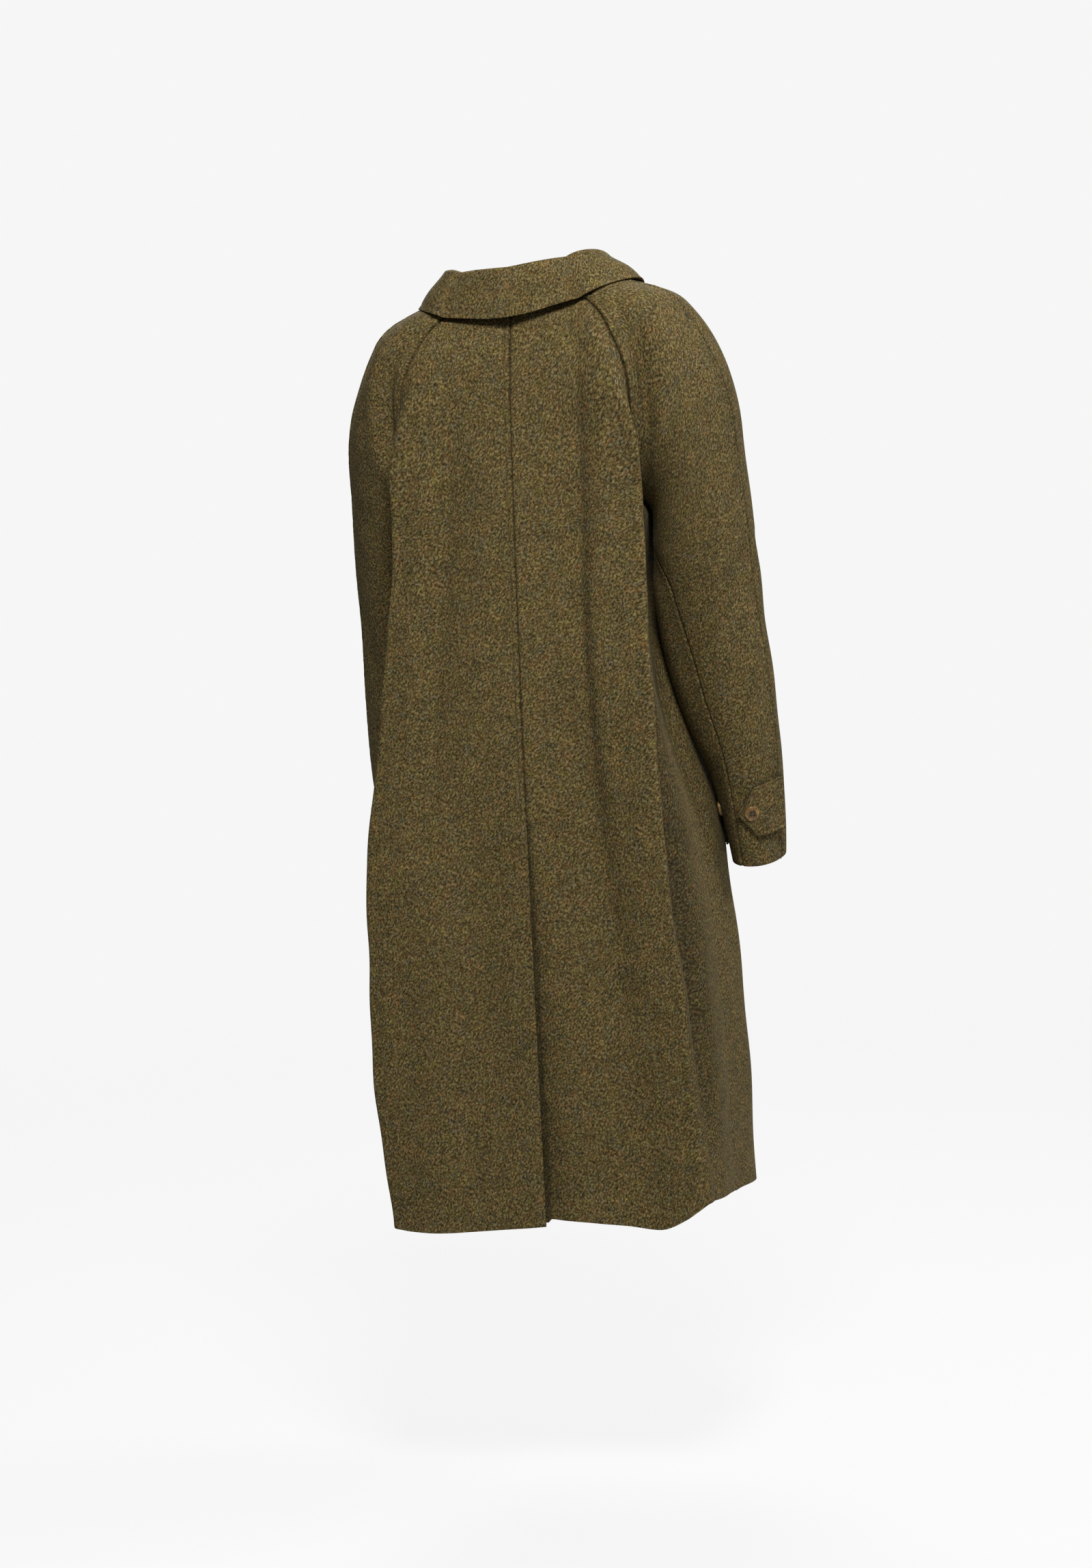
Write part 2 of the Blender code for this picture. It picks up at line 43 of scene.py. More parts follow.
TINY = 1e-12
FULL_TURN = 360.0
OUTWARD = {"left": 1.0, "right": -1.0}
FRONT_LAP = 0.040
VENT_LAP = 0.045
VENT_OPEN = 0.024
VENT_LIFT = 0.0030
VENT_LIFT_HALF = 0.030
# Half width of the painted shadow on the right back beside the vent's covering edge
VENT_SHADE = 0.0042
VENT_TOP = 1.42
VENT_SPREAD = 0.7
LAP_FADE = 0.078
LAP_CLEAR = 0.030
LAP_NEAR = 0.003
LAP_STEP = 0.005
LAY_GAP = 0.0004
SHOULDER_DROP = 0.090
HEM_DROP = 0.030
COAT_LENGTH = 1.200
FREE_EDGE_ROUND = 0.0008
CREASE_ANGLE = math.radians(55)
EDGE_ANGLE = math.radians(62)

# Where the flat cuts lie on their shared plan: steps between panels, the collar's corner, the small pieces
CUT_APART = (0.61, 0.37)
COLLAR_CUT_AT = (3.1, 2.3)
TRIM_CUT_AT = (0.9, 5.0)

# Seams: the groove where two pieces meet, the row of stitches beside it, the cloth raised between them and
# the painted shade along them
SEAM_DEPTH = 0.0019
SEAM_HALF = 0.0016
# Half widths of the painted shade along the seams; the overarm seam's front half takes a wider band of
# painted shadow
SEAM_SHADE = 0.0010
OVERARM_SHADE = 0.0040
TOPSTITCH = 0.0080
TOPSTITCH_RISE = 0.0011
TOPSTITCH_DENT = 0.0010
DENT_HALF = 0.0014
RISE_IN = 0.003
RISE_OUT = 0.002
OVERARM_DEEPER = 1.1
# How far the painted shade darkens the cloth at the overarm seam and at the other sleeve seams
OVERARM_PAINTED_SHADE = 0.9
ARM_SEAM_PAINTED_SHADE = 0.6
PUCKER = 0.00035
PUCKER_IN = 0.004
PUCKER_WAVES = (0.011, 0.017, 0.029)
PUCKER_REACH = 0.012
EDGE_STEPS = np.array([0, 0.0010, 0.0022, 0.0036, 0.0052, 0.0068, 0.0080, 0.0092, 0.0115, 0.0150, 0.0200])
STITCH_COLUMN = 6
SEAM_CALM = 0.028
UNEVEN = 0.0042
UNEVEN_WAVES = (0.23, 0.16, 0.11, 0.07)

# Rows of the cloth, from 0 at the neck through 1 at the underarm to 2 at hem or cuff
UPPER_ROWS = np.linspace(0, 1, 72)
UNDERARM = len(UPPER_ROWS) - 1
ROWS_TO_VENT = np.linspace(1, VENT_TOP, 76)[1:]
VENT_ROWS = np.linspace(VENT_TOP, 2, 104)[1:]
BODY_ROWS = np.concatenate([UPPER_ROWS, ROWS_TO_VENT, VENT_ROWS])
VENT_ROW = UNDERARM + len(ROWS_TO_VENT)
SLEEVE_ROWS = np.concatenate([UPPER_ROWS, np.linspace(1, 2, 110)[1:]])
BODY_CELLS = 72
SLEEVE_CELLS = 40
FINE = 240
FINER = 8


def table(columns, *rows):
    """A short table as named columns; the first column is the station."""
    return dict(zip(columns.split(), np.array(rows, float).T))


# Rings of the left sleeve: centre, half width, half depths, slopes and how far round the cloth goes
SLEEVE = table(
    "station x y z width back front tilt lean cover",
    (0.00, 0.0620, -0.006, -0.016, 0.030, 0.056, 0.058, 30, -13, 90),
    (0.25, 0.1100, -0.012, -0.052, 0.055, 0.092, 0.092, 46, -10, 90),
    (0.50, 0.1470, -0.018, -0.110, 0.089, 0.116, 0.110, 50, -6, 92),
    (0.75, 0.1780, -0.030, -0.186, 0.096, 0.110, 0.108, 45, 0, 118),
    (1.00, 0.2020, -0.047, -0.262, 0.074, 0.090, 0.090, 36, 5, 180),
    (1.25, 0.2040, -0.068, -0.390, 0.066, 0.078, 0.078, 12, 9, 120),
    (1.50, 0.2150, -0.092, -0.512, 0.061, 0.070, 0.072, 5, 11, 109),
    (1.75, 0.2330, -0.118, -0.640, 0.045, 0.066, 0.068, 3, 12, 107),
    (2.00, 0.2370, -0.146, -0.769, 0.034, 0.064, 0.066, -4, 6, 106),
)

# The overarm seam lies behind the outermost line by these angles
SEAM_TURN = table(
    "station left right",
    (0.00, 14, 14),
    (0.60, 32, 16),
    (1.20, 22, 14),
    (2.00, 12, 12),
)

# Back sections: centre line, the fold where the back turns to the side, its sharpness and the hollow beyond
BACK = table(
    "station y z fold_x fold_y fold_drop sharp hollow_x hollow_y left_spread",
    (0.00, 0.073, -0.007, 0.030, 0.073, 0.000, 1.0, -0.018, 0.010, 0.000),
    (0.25, 0.094, -0.066, 0.060, 0.100, 0.000, 1.0, -0.022, 0.008, 0.000),
    (0.50, 0.106, -0.130, 0.105, 0.116, 0.000, 1.2, -0.016, 0.014, 0.000),
    (0.75, 0.114, -0.215, 0.178, 0.121, 0.000, 2.2, 0.000, 0.022, -0.004),
    (1.00, 0.120, -0.310, 0.192, 0.128, 0.000, 2.6, -0.013, 0.045, 0.000),
    (1.25, 0.130, -0.530, 0.200, 0.142, 0.000, 2.4, 0.002, 0.060, 0.028),
    (1.50, 0.134, -0.750, 0.207, 0.150, 0.000, 2.2, 0.004, 0.070, 0.051),
    (1.75, 0.136, -0.975, 0.225, 0.148, 0.002, 2.0, 0.003, 0.070, 0.041),
    (2.00, 0.138, -1.197, 0.234, 0.142, 0.018, 1.8, 0.002, 0.070, 0.020),
)

# Front sections, laid out in the same way
FRONT = table(
    "station y z fold_x fold_y fold_drop sharp hollow_x hollow_y",
    (0.00, -0.098, -0.085, 0.036, -0.094, 0.000, 1.0, -0.012, -0.012),
    (0.25, -0.128, -0.130, 0.060, -0.126, 0.000, 1.0, -0.022, -0.010),
    (0.50, -0.146, -0.180, 0.096, -0.148, 0.000, 1.2, -0.016, -0.016),
    (0.75, -0.156, -0.240, 0.136, -0.160, 0.000, 1.5, -0.004, -0.026),
    (1.00, -0.162, -0.310, 0.158, -0.166, 0.000, 2.0, -0.011, -0.036),
    (1.25, -0.168, -0.530, 0.184, -0.174, 0.000, 2.2, -0.003, -0.060),
    (1.50, -0.174, -0.750, 0.226, -0.182, 0.000, 2.0, 0.002, -0.060),
    (1.75, -0.180, -0.975, 0.243, -0.190, 0.000, 1.8, 0.003, -0.060),
    (2.00, -0.186, -1.205, 0.247, -0.196, 0.004, 1.8, 0.002, -0.060),
)

# Side seam below the underarm, drawn in where the arm rests
SIDE = table(
    "station x y z",
    (1.12, 0.1280, -0.042, -0.410),
    (1.25, 0.1400, -0.036, -0.530),
    (1.50, 0.1900, -0.031, -0.750),
    (1.75, 0.2080, -0.029, -0.975),
    (2.00, 0.2130, -0.026, -1.190),
)

# Soft folds, ridges with a depth below 0: edge measured from, three heights and distances, far steepness
FOLD_COLUMNS = "edge top_z top middle_z middle low_z low half_width depth steep".split()
FOLDS = {
    "back_right": [
        ("first", 0.05, 0.094, -0.48, 0.076, -0.98, 0.112, 0.050, 0.0165, 2.7),
        ("first", 0.02, 0.092, -0.34, 0.083, -0.80, 0.090, 0.011, 0.0032, 1.6),
        ("first", -0.30, 0.172, -0.52, 0.170, -0.78, 0.162, 0.020, -0.0058, 1.0),
        ("first", -0.24, 0.128, -0.55, 0.124, -0.86, 0.130, 0.020, 0.0030, 1.8),
        ("first", -0.50, 0.070, -0.95, 0.100, -1.60, 0.125, 0.055, 0.0260, 0.8),
        ("first", -0.72, 0.204, -0.98, 0.210, -1.45, 0.218, 0.015, -0.0070, 1.0),
    ],
    "back_left": [
        ("first", -0.06, 0.070, -0.38, 0.106, -0.74, 0.142, 0.034, 0.0125, 2.4),
        ("first", -0.10, 0.074, -0.38, 0.106, -0.72, 0.140, 0.011, 0.0030, 1.6),
        ("first", -0.46, 0.058, -0.85, 0.080, -1.40, 0.100, 0.050, 0.0105, 1.4),
        ("first", -0.62, 0.160, -0.95, 0.178, -1.45, 0.190, 0.034, 0.0050, 1.3),
    ],
    "sleeve_back_right": [
        ("last", -0.02, 0.026, -0.14, 0.030, -0.27, 0.038, 0.017, 0.0185, 0.7),
        ("first", -0.36, 0.020, -0.45, 0.055, -0.50, 0.090, 0.018, 0.0026, 1.3),
        ("first", -0.44, 0.030, -0.53, 0.060, -0.60, 0.080, 0.014, 0.0018, 1.3),
    ],
    "sleeve_back_left": [
        ("last", -0.03, 0.022, -0.11, 0.024, -0.24, 0.028, 0.016, 0.0110, 0.7),
        ("first", -0.38, 0.016, -0.47, 0.050, -0.53, 0.085, 0.018, 0.0026, 1.3),
    ],
    "sleeve_front_right": [
        ("first", -0.34, 0.040, -0.44, 0.090, -0.50, 0.150, 0.017, 0.0045, 1.3),
        ("first", -0.42, 0.060, -0.52, 0.110, -0.58, 0.160, 0.014, 0.0035, 1.3),
        ("last", -0.34, 0.050, -0.54, 0.052, -0.71, 0.050, 0.035, -0.0100, 1.0),
    ],
    "sleeve_front_left": [
        ("first", -0.35, 0.045, -0.45, 0.095, -0.51, 0.150, 0.017, 0.0042, 1.3),
        ("first", -0.44, 0.050, -0.54, 0.105, -0.61, 0.160, 0.013, 0.0032, 1.3),
    ],
    "front_left": [
        ("first", -0.16, 0.090, -0.50, 0.085, -1.05, 0.120, 0.036, 0.0090, 1.8),
        ("first", -0.60, 0.165, -0.90, 0.175, -1.45, 0.190, 0.026, 0.0060, 1.3),
    ],
    "front_right": [
        ("first", -0.18, 0.080, -0.55, 0.095, -1.10, 0.125, 0.034, 0.0090, 1.6),
        ("first", -0.66, 0.160, -0.92, 0.178, -1.45, 0.188, 0.024, 0.0055, 1.4),
        ("last", -0.46, 0.040, -0.66, 0.042, -0.84, 0.045, 0.030, -0.0060, 1.0),
    ],
}

# The back's crisp fold: drawn to a corner, the corner's place, pinch, push over the sleeve, hollow past it
CRISP = table(
    "station left_corner right_corner inset rise over left_recess right_recess",
    (0.45, 0.00, 0.00, 0.55, 0.0000, 0.0000, 0.0000, 0.000),
    (0.55, 0.40, 0.50, 0.55, 0.0010, 0.0060, 0.0000, 0.000),
    (0.65, 0.75, 0.90, 0.55, 0.0018, 0.0095, 0.0000, 0.000),
    (0.85, 0.95, 1.00, 0.55, 0.0026, 0.0075, 0.0020, 0.000),
    (1.05, 0.80, 1.00, 0.52, 0.0028, 0.0035, 0.0040, 0.010),
    (1.30, 0.55, 1.00, 0.55, 0.0032, 0.0000, 0.0060, 0.030),
    (1.70, 0.40, 1.00, 0.60, 0.0032, 0.0000, 0.0050, 0.025),
    (2.00, 0.30, 0.60, 0.90, 0.0010, 0.0000, 0.0000, 0.002),
)

# The hem of each back half, raised or lowered by distance from the centre
HEM = table(
    "away right left",
    (0.00, 0.004, 0.000),
    (0.05, 0.003, -0.001),
    (0.10, -0.003, -0.002),
    (0.145, -0.008, -0.001),
    (0.185, 0.006, 0.001),
    (0.215, 0.022, 0.003),
    (0.25, 0.016, 0.003),
    (0.29, 0.010, 0.002),
    (0.36, 0.000, 0.000),
    (0.60, 0.000, 0.000),
)
HEM_STATION = 1.80

# Shapes of folds: the lip beside a fold as a share, its place and half width, and how the crisp fold is set
SOFT_LIP = (0.22, 1.9, 0.8)
CRISP_LIP = (0.35, 2.1, 0.9)
FOLD_FADE = 0.8
PINCH_CALM = 0.012
PUSH_CALM = 0.016
PUSH_BACK = 0.25
TURN_CLEAR = (0.050, 0.018)
RECESS_PAST = 0.038
RECESS_HALF = 0.024
# Painted shade in the hollow past the right back's crisp fold: its strength, place, half width and start
HOLLOW_SHADE = 0.95
HOLLOW_PAST = 0.050
HOLLOW_HALF = 0.042
HOLLOW_START = 0.004
CRISP_WEIGHT = 2.6
CRISP_HALF = 0.0060
CRISP_OVER_HALF = 0.020
CALM_ROWS = 21
TURN_CROWD = 3.0
TURN_HALF = 0.016

# Collar sections from the centre back round to the front edge, measured from the neck seam
COLLAR = table(
    "along stand roll_out edge_out edge_rise",
    (0.00, 0.034, 0.006, 0.030, -0.026),
    (0.05, 0.034, 0.006, 0.030, -0.026),
    (0.25, 0.033, 0.008, 0.044, -0.017),
    (0.50, 0.029, 0.012, 0.061, -0.002),
    (0.75, 0.020, 0.012, 0.062, -0.022),
    (1.00, 0.010, 0.008, 0.054, -0.062),
)
COLLAR_ROLL = 0.0045
COLLAR_FRONT_GAP = 0.0002
COLLAR_BASE_GAP = 0.0009
COLLAR_TUCK_IN = 0.0045
COLLAR_TUCK_DOWN = 0.0060
COLLAR_THICK = 0.0030
COLLAR_ALONG = 150
COLLAR_OVER = 34
COLLAR_STITCH = 0.0070

# Points up the stand and over the roll: shares of the stand's lean and height, and roll sizes out and up
COLLAR_ROLL_POINTS = table(
    "lean height out up",
    (0.5, 0.6, 0.0, 0.0),
    (1.0, 1.0, 0.0, 0.0),
    (1.0, 1.0, 0.5, 0.7),
    (1.0, 1.0, 1.6, 0.7),
    (1.0, 1.0, 2.6, -0.3),
)
COLLAR_FALL_MIDDLE = 0.55

# Cuff tabs and welts, laid on the cloth under them
TAB_HALF_WIDTH = 0.034
TAB_STATION = 1.852
TAB_CORNER_ANGLE = 66.0
TAB_TIP_ANGLE = 97.0
TAB_BLUNT = 0.06
TAB_SEAM_CLEAR = 0.4
TAB_CELLS = (26, 22, 34)
TAB_LIFT = 0.0034
TAB_STRAP_LIFT = 0.0045
TAB_STRAP_TURN = 22.0
TAB_STRAP_START = 6.0
TAB_SLANT = 0.72
TAB_TIP_CLEAR = 0.001
TAB_STITCH_CORNER = 3.0
TAB_STITCH_TIP = 8.0
TAB_STITCH_AT = (0, 19, 20, 21, 40)
SLEEVE_PER_STATION = 0.50
WELT_STATIONS = (1.30, 1.50)
WELT_NEAR_ACROSS = (0.36, 0.46)
WELT_FAR_ACROSS = (0.53, 0.62)
WELT_CELLS = (60, 14)
WELT_LIFT = 0.0012
TRIM_STITCH = 0.0055
TRIM_EDGE_SINK = 0.0007
TRIM_ROLL = 0.003
# Half width of the painted shadow along the edges of tabs and welts
TRIM_SHADE = 0.0012

# Thread and buttons; a kind of button has a width and a lift
STITCH_LENGTH = 0.0030
STITCH_PITCH = 0.0042
THREAD_HALF = 0.00038
STITCH_BOW = 0.00022
BUTTONHOLE_TURN = 16.0
BUTTONHOLE_WIDTH = 0.0038
BUTTONHOLE_PITCH = 0.0007
BUTTONHOLE_RISE = 0.4
VENT_STITCH = ((0.002, -0.6770), (0.043, -0.6915))
BUTTON_THICKNESS = 0.0038
BUTTON_SIDES = 56
BUTTON_RIM = 0.135
BUTTON_DISH = 0.0009
BUTTON_ROUND = 0.0007
BUTTON_STEP = 0.07
BUTTON_STEP_DEPTH = 0.3 * BUTTON_DISH
BUTTON_BACK = 0.16
BUTTON_BACK_DEPTH = 0.12 * BUTTON_THICKNESS
BUTTON_EDGE_ANGLE = math.radians(20)
BUTTON_CREASE = math.radians(35)
BUTTON_FACING = 0.9
# Where the painted shade in the button's dished middle starts and how it fades
DISH_START = 1 - 1.6 * BUTTON_RIM
DISH_FADE = 0.16
EVEN_SOLID = 0.002
CUFF_BUTTON = (0.020, 0.002)
FRONT_BUTTON = (0.026, 0.001)
HOLE_RADIUS = 0.0011
HOLE_SPACING = 0.0021
STRANDS = (-0.00055, 0, 0.00055)
STRAND_SIZE = (1.25 * HOLE_SPACING, 0.00034, 0.00034)
STRAND_BOW = 0.0005
STRAND_TOP = BUTTON_THICKNESS / 2 - 1.3 * BUTTON_DISH
SHANK_SIZE = (0.0021, 0.0021, 0.0006)
SHANK_TURNS = 5
SHANK_BELOW = 0.0004
SHANK_SHORT = 0.0006

# Colours: places on a ramp and what they show
TWEED_SHADE = -0.65
TWEED_STOPS = (
    (0.05, (0.0140, 0.0105, 0.0045)),
    (0.50, (0.0735, 0.0565, 0.0225)),
    (0.95, (0.204, 0.170, 0.096)),
)
THREAD_STOPS = ((0.35, (0.045, 0.034, 0.014)), (0.65, (0.125, 0.100, 0.045)))
HORN_STOPS = (
    (0.30, (0.020, 0.010, 0.003)),
    (0.50, (0.120, 0.062, 0.015)),
    (0.72, (0.330, 0.180, 0.048)),
)
TWILL_TURN = math.radians(-60)

# The stage
COAT_MIDDLE = Vector((0, 0, -0.6))
FLOOR_FADE = (1.2, 4.5)
FLOOR_Z = -1.560
SURROUND_GLOW = 0.19
FLOOR_GLOW = 0.806

# Soft lights: azimuth from the front, elevation, distance, size and power
LIGHTS = (
    ("key softbox", 202, 48, 4.0, 1.0, 226),
    ("front softbox", 20, 42, 4.0, 1.8, 120),
    ("side softbox", 288, 34, 4.0, 1.2, 100),
)


def read(source, column, at):
    """One column of a table on a smooth curve through its rows, without overshoot."""
    stations = source[next(iter(source))]
    values = source[column]
    step = np.diff(stations)
    rise = np.diff(values) / step
    slope = np.zeros_like(values)
    same = rise[:-1] * rise[1:] > 0
    with np.errstate(divide="ignore", invalid="ignore"):
        mean = 2 * rise[:-1] * rise[1:] / (rise[:-1] + rise[1:])
    slope[1:-1] = np.where(same, mean, 0)
    slope[0] = rise[0]
    slope[-1] = rise[-1]
    at = np.asarray(at, float)
    i = np.clip(np.searchsorted(stations, at, side="right") - 1, 0, len(step) - 1)
    p = (at - stations[i]) / step[i]
    start = (2 * p**3 - 3 * p**2 + 1) * values[i] + (p**3 - 2 * p**2 + p) * step[i] * slope[i]
    end = (3 * p**2 - 2 * p**3) * values[i + 1] + (p**3 - p**2) * step[i] * slope[i + 1]
    return start + end


def smooth(value):
    """An even rise from 0 to 1."""
    value = np.clip(value, 0, 1)
    return value * value * (3 - 2 * value)


def bell(value):
    """A hump that is 1 at 0 and fades on both sides."""
    return np.exp(-(value**2))


def lipped(apart, lip, place, half):
    """A hump with a shallow lip the other way on each side."""
    return bell(apart) - lip * bell((np.abs(apart) - place) / half)


def points_at(at, along, line):
    """Points of a line at the given distances along it."""
    return np.stack([np.interp(at, along, line[:, axis]) for axis in range(3)], -1)


def between(ends, part):
    """The value at a share of the way from one end to the other."""
    return ends[0] + (ends[1] - ends[0]) * part


def unit(vectors):
    """Vectors brought to length 1."""
    return vectors / np.maximum(np.linalg.norm(vectors, axis=-1, keepdims=True), TINY)


def ring(station, angle):
    """Points on the left sleeve's rings; the angle runs from the outermost line, positive to the back."""
    turn = np.radians(angle)
    tilt = np.radians(read(SLEEVE, "tilt", station))
    lean = np.radians(read(SLEEVE, "lean", station))
    depth = np.where(np.sin(turn) >= 0, read(SLEEVE, "back", station), read(SLEEVE, "front", station))
    out = read(SLEEVE, "width", station) * np.cos(turn)
    deep = depth * np.sin(turn)
    x = read(SLEEVE, "x", station) + out * np.cos(tilt)
    y = read(SLEEVE, "y", station) + deep * np.cos(lean)
    z = read(SLEEVE, "z", station) + out * np.sin(tilt) - deep * np.sin(lean)
    return np.stack([x, y, z], -1)


def reach(face, rows):
    """The angle where a sleeve half ends: the raglan seam above the underarm, the under seam below it."""
    cover = read(SLEEVE, "cover", rows)
    if face == "back":
        return cover
    return np.where(rows > 1, cover - FULL_TURN, -cover)


def side_edge(face, rows):
    """The outer edge of a body panel: raglan seam down to the underarm, side seam below it."""
    upper = np.minimum(rows, 1)
    raglan = ring(upper, reach(face, upper))
    under = ring(np.array(1.0), np.array(180.0))
    seam = {"station": np.append(1.0, SIDE["station"])}
    for axis, name in enumerate("xyz"):
        seam[name] = np.append(under[axis], SIDE[name])
    below = np.stack([read(seam, name, np.maximum(rows, 1)) for name in "xyz"], -1)
    return np.where((rows <= 1)[:, None], raglan, below)


def bent_rows(centre, fold, hollow, edge, sharp, across):
    """Rows bent from centre past fold and hollow to edge; a larger sharp draws them to the fold."""
    q = across[None, :, None]
    sharp = sharp[:, None, None]
    weights = [(1 - q) ** 3, 3 * sharp * q * (1 - q) ** 2, 3 * q**2 * (1 - q), q**3]
    total = sum(weights)
    corners = (centre, fold, hollow, edge)
    return sum(weight * corner[:, None] for weight, corner in zip(weights, corners)) / total


def read_crisp(column, rows):
    """One column of the crisp fold's table, held at its ends."""
    return read(CRISP, column, np.clip(rows, CRISP["station"][0], CRISP["station"][-1]))


def calm_down(values):
    """A column of values averaged over its neighbours."""
    if len(values) < CALM_ROWS:
        return values
    half = CALM_ROWS // 2
    return np.convolve(np.pad(values, half, mode="edge"), np.ones(CALM_ROWS) / CALM_ROWS, mode="valid")


def body_rows(face, side, rows, across):
    """Points of a body panel on its left-hand form; across runs from 0 at the centre to 1 at the side."""
    source = BACK if face == "back" else FRONT
    rows = np.asarray(rows, float)
    centre = np.stack([0 * rows, read(source, "y", rows), read(source, "z", rows)], -1)
    edge = side_edge(face, rows)
    fold_z = (centre[:, 2] + edge[:, 2]) / 2 - read(source, "fold_drop", rows)
    fold = np.stack([read(source, "fold_x", rows), read(source, "fold_y", rows), fold_z], -1)
    hollow = edge + np.stack([read(source, "hollow_x", rows), read(source, "hollow_y", rows), 0 * rows], -1)
    sharp = read(source, "sharp", rows)
    if face == "back" and side == "left":
        fold[:, 0] += read(source, "left_spread", rows)
    if face == "front":
        return bent_rows(centre, fold, hollow, edge, sharp, across)
    plain = bent_rows(centre, fold, hollow, edge, sharp, np.linspace(0, 1, FINE))
    apart = np.linalg.norm(plain - fold[:, None], axis=-1)
    nearest = plain[np.arange(len(rows)), np.argmin(apart, 1)]
    inward = np.stack([calm_down(column) for column in (nearest - fold).T], -1)
    corner = read_crisp(side + "_corner", rows)
    fold = fold + (read_crisp("inset", rows) * corner)[:, None] * inward
    return bent_rows(centre, fold, hollow, edge, sharp * (1 + CRISP_WEIGHT * corner), across)


def sleeve_lines(face, side):
    """One half of a sleeve on its left-hand form, from the overarm seam to the raglan or under seam."""
    rows = SLEEVE_ROWS[:, None]
    across = np.linspace(0, 1, FINE)[None, :]
    first = read(SEAM_TURN, side, rows)
    last = reach(face, rows)
    return ring(rows + 0 * across, first + (last - first) * across)


def mirrored(points, side):
    """Left-hand points moved to the side they belong to."""
    return points * np.array([OUTWARD[side], 1.0, 1.0])


def pose(points):
    """Let the left shoulder hang lower than the right, less so towards the hem."""
    points = np.array(points, float)
    high = np.clip(1 + points[..., 2] / COAT_LENGTH, 0, 1)
    points[..., 2] -= (HEM_DROP + (SHOULDER_DROP - HEM_DROP) * high) * points[..., 0]
    return points


def lengths(line):
    """Distances along lines of points, from 0 at their first point."""
    step = np.linalg.norm(np.diff(line, axis=-2), axis=-1)
    return np.concatenate([np.zeros(step.shape[:-1] + (1,)), np.cumsum(step, -1)], -1)


def turn_line(lines, along):
    """How far along each row of a body panel its sharpest turn lies."""
    run = np.gradient(lines, axis=1)
    pace = np.linalg.norm(run, axis=-1, keepdims=True)
    bend = np.linalg.norm(np.gradient(run / pace, axis=1) / pace, axis=-1)
    near, far = TURN_CLEAR
    bend[(along < near) | (along[:, -1:] - along < far)] = 0
    return calm_down(np.take_along_axis(along, np.argmax(bend, 1)[:, None], 1)[:, 0])


def lengths_down(points):
    """Distances down the columns of a grid."""
    return lengths(np.swapaxes(points, 0, 1)).T


def lay_out(lines, cells, crowded=False):
    """A panel's points at set distances from both seams, closer near its fold, with those distances."""
    along = lengths(lines)
    turn = turn_line(lines, along) if crowded else 0 * along[:, 0]
    points = []
    first = []
    reach_in = EDGE_STEPS[-1]
    for line, far, fold_at in zip(lines, along, turn):
        inner = np.linspace(reach_in, far[-1] - reach_in, FINER * cells)
        crowd = 1 + TURN_CROWD * crowded * bell((inner - fold_at) / TURN_HALF)
        count = np.concatenate([[0], np.cumsum((crowd[1:] + crowd[:-1]) / 2)])
        middle = np.interp(np.linspace(0, count[-1], cells + 1)[1:-1], count, inner)
        at = np.concatenate([EDGE_STEPS, middle, far[-1] - EDGE_STEPS[::-1]])
        points.append(points_at(at, far, line))
        first.append(at)
    points = np.array(points)
    first = np.array(first)
    down = lengths(points[:, 0])[:, None] + 0 * first
    return {"points": points, "first": first, "last": along[:, -1:] - first, "down": down, "turn": turn}


def normals(points, hint):
    """Outward unit normals of a grid; hint is the outward way at its middle row's first column."""
    cross = unit(np.cross(np.gradient(points, axis=0), np.gradient(points, axis=1)))
    middle = cross[len(points) // 2, 0]
    return cross if middle @ np.array(hint) > 0 else -cross


def share(first, second):
    """Two panels that meet at a seam take the same normal along it."""
    first[...] = second[...] = unit(first + second)


def plain_panels():
    """The body panels and sleeve halves before any fold, with shared normals along their seams."""
    panel = {}
    across = np.linspace(0, 1, FINE)
    for side in ("left", "right"):
        for face, hint in (("back", (0, 1, 0)), ("front", (0, -1, 0))):
            key = face + "_" + side
            rows = body_rows(face, side, BODY_ROWS, across)
            panel[key] = lay_out(mirrored(rows, side), BODY_CELLS, True)
            panel[key]["out"] = normals(panel[key]["points"], hint)
            key = "sleeve_" + key
            panel[key] = lay_out(mirrored(sleeve_lines(face, side), side), SLEEVE_CELLS)
            panel[key]["out"] = normals(panel[key]["points"], (OUTWARD[side], 0, 0))
        arms = [panel["sleeve_" + face + "_" + side]["out"] for face in ("back", "front")]
        bodies = [panel[face + "_" + side]["out"] for face in ("back", "front")]
        for body, arm in zip(bodies, arms):
            share(body[:UNDERARM, -1], arm[:UNDERARM, -1])
        share(arms[0][:, 0], arms[1][:, 0])
        share(bodies[0][UNDERARM:, -1], bodies[1][UNDERARM:, -1])
        share(arms[0][UNDERARM:, -1], arms[1][UNDERARM:, -1])
    for face in ("back", "front"):
        share(panel[face + "_left"]["out"][:, 0], panel[face + "_right"]["out"][:, 0])
    return panel


def fold_relief(name, panel):
    """The soft folds of one panel, as distances in (below zero) and out."""
    height = panel["points"][..., 2]
    relief = 0 * height
    for row in FOLDS[name]:
        fold = dict(zip(FOLD_COLUMNS, row))
        line = table(
            "z away",
            (fold["low_z"], fold["low"]),
            (fold["middle_z"], fold["middle"]),
            (fold["top_z"], fold["top"]),
        )
        run = np.clip((fold["top_z"] - height) / (fold["top_z"] - fold["low_z"]), 0, 1)
        fade = np.sin(np.pi * run) ** FOLD_FADE
        centre = read(line, "away", np.clip(height, fold["low_z"], fold["top_z"]))
        apart = (panel[fold["edge"]] - centre) / fold["half_width"]
        apart = np.where(apart > 0, apart * fold["steep"], apart)
        relief -= fold["depth"] * fade * lipped(apart, *SOFT_LIP)
    return relief


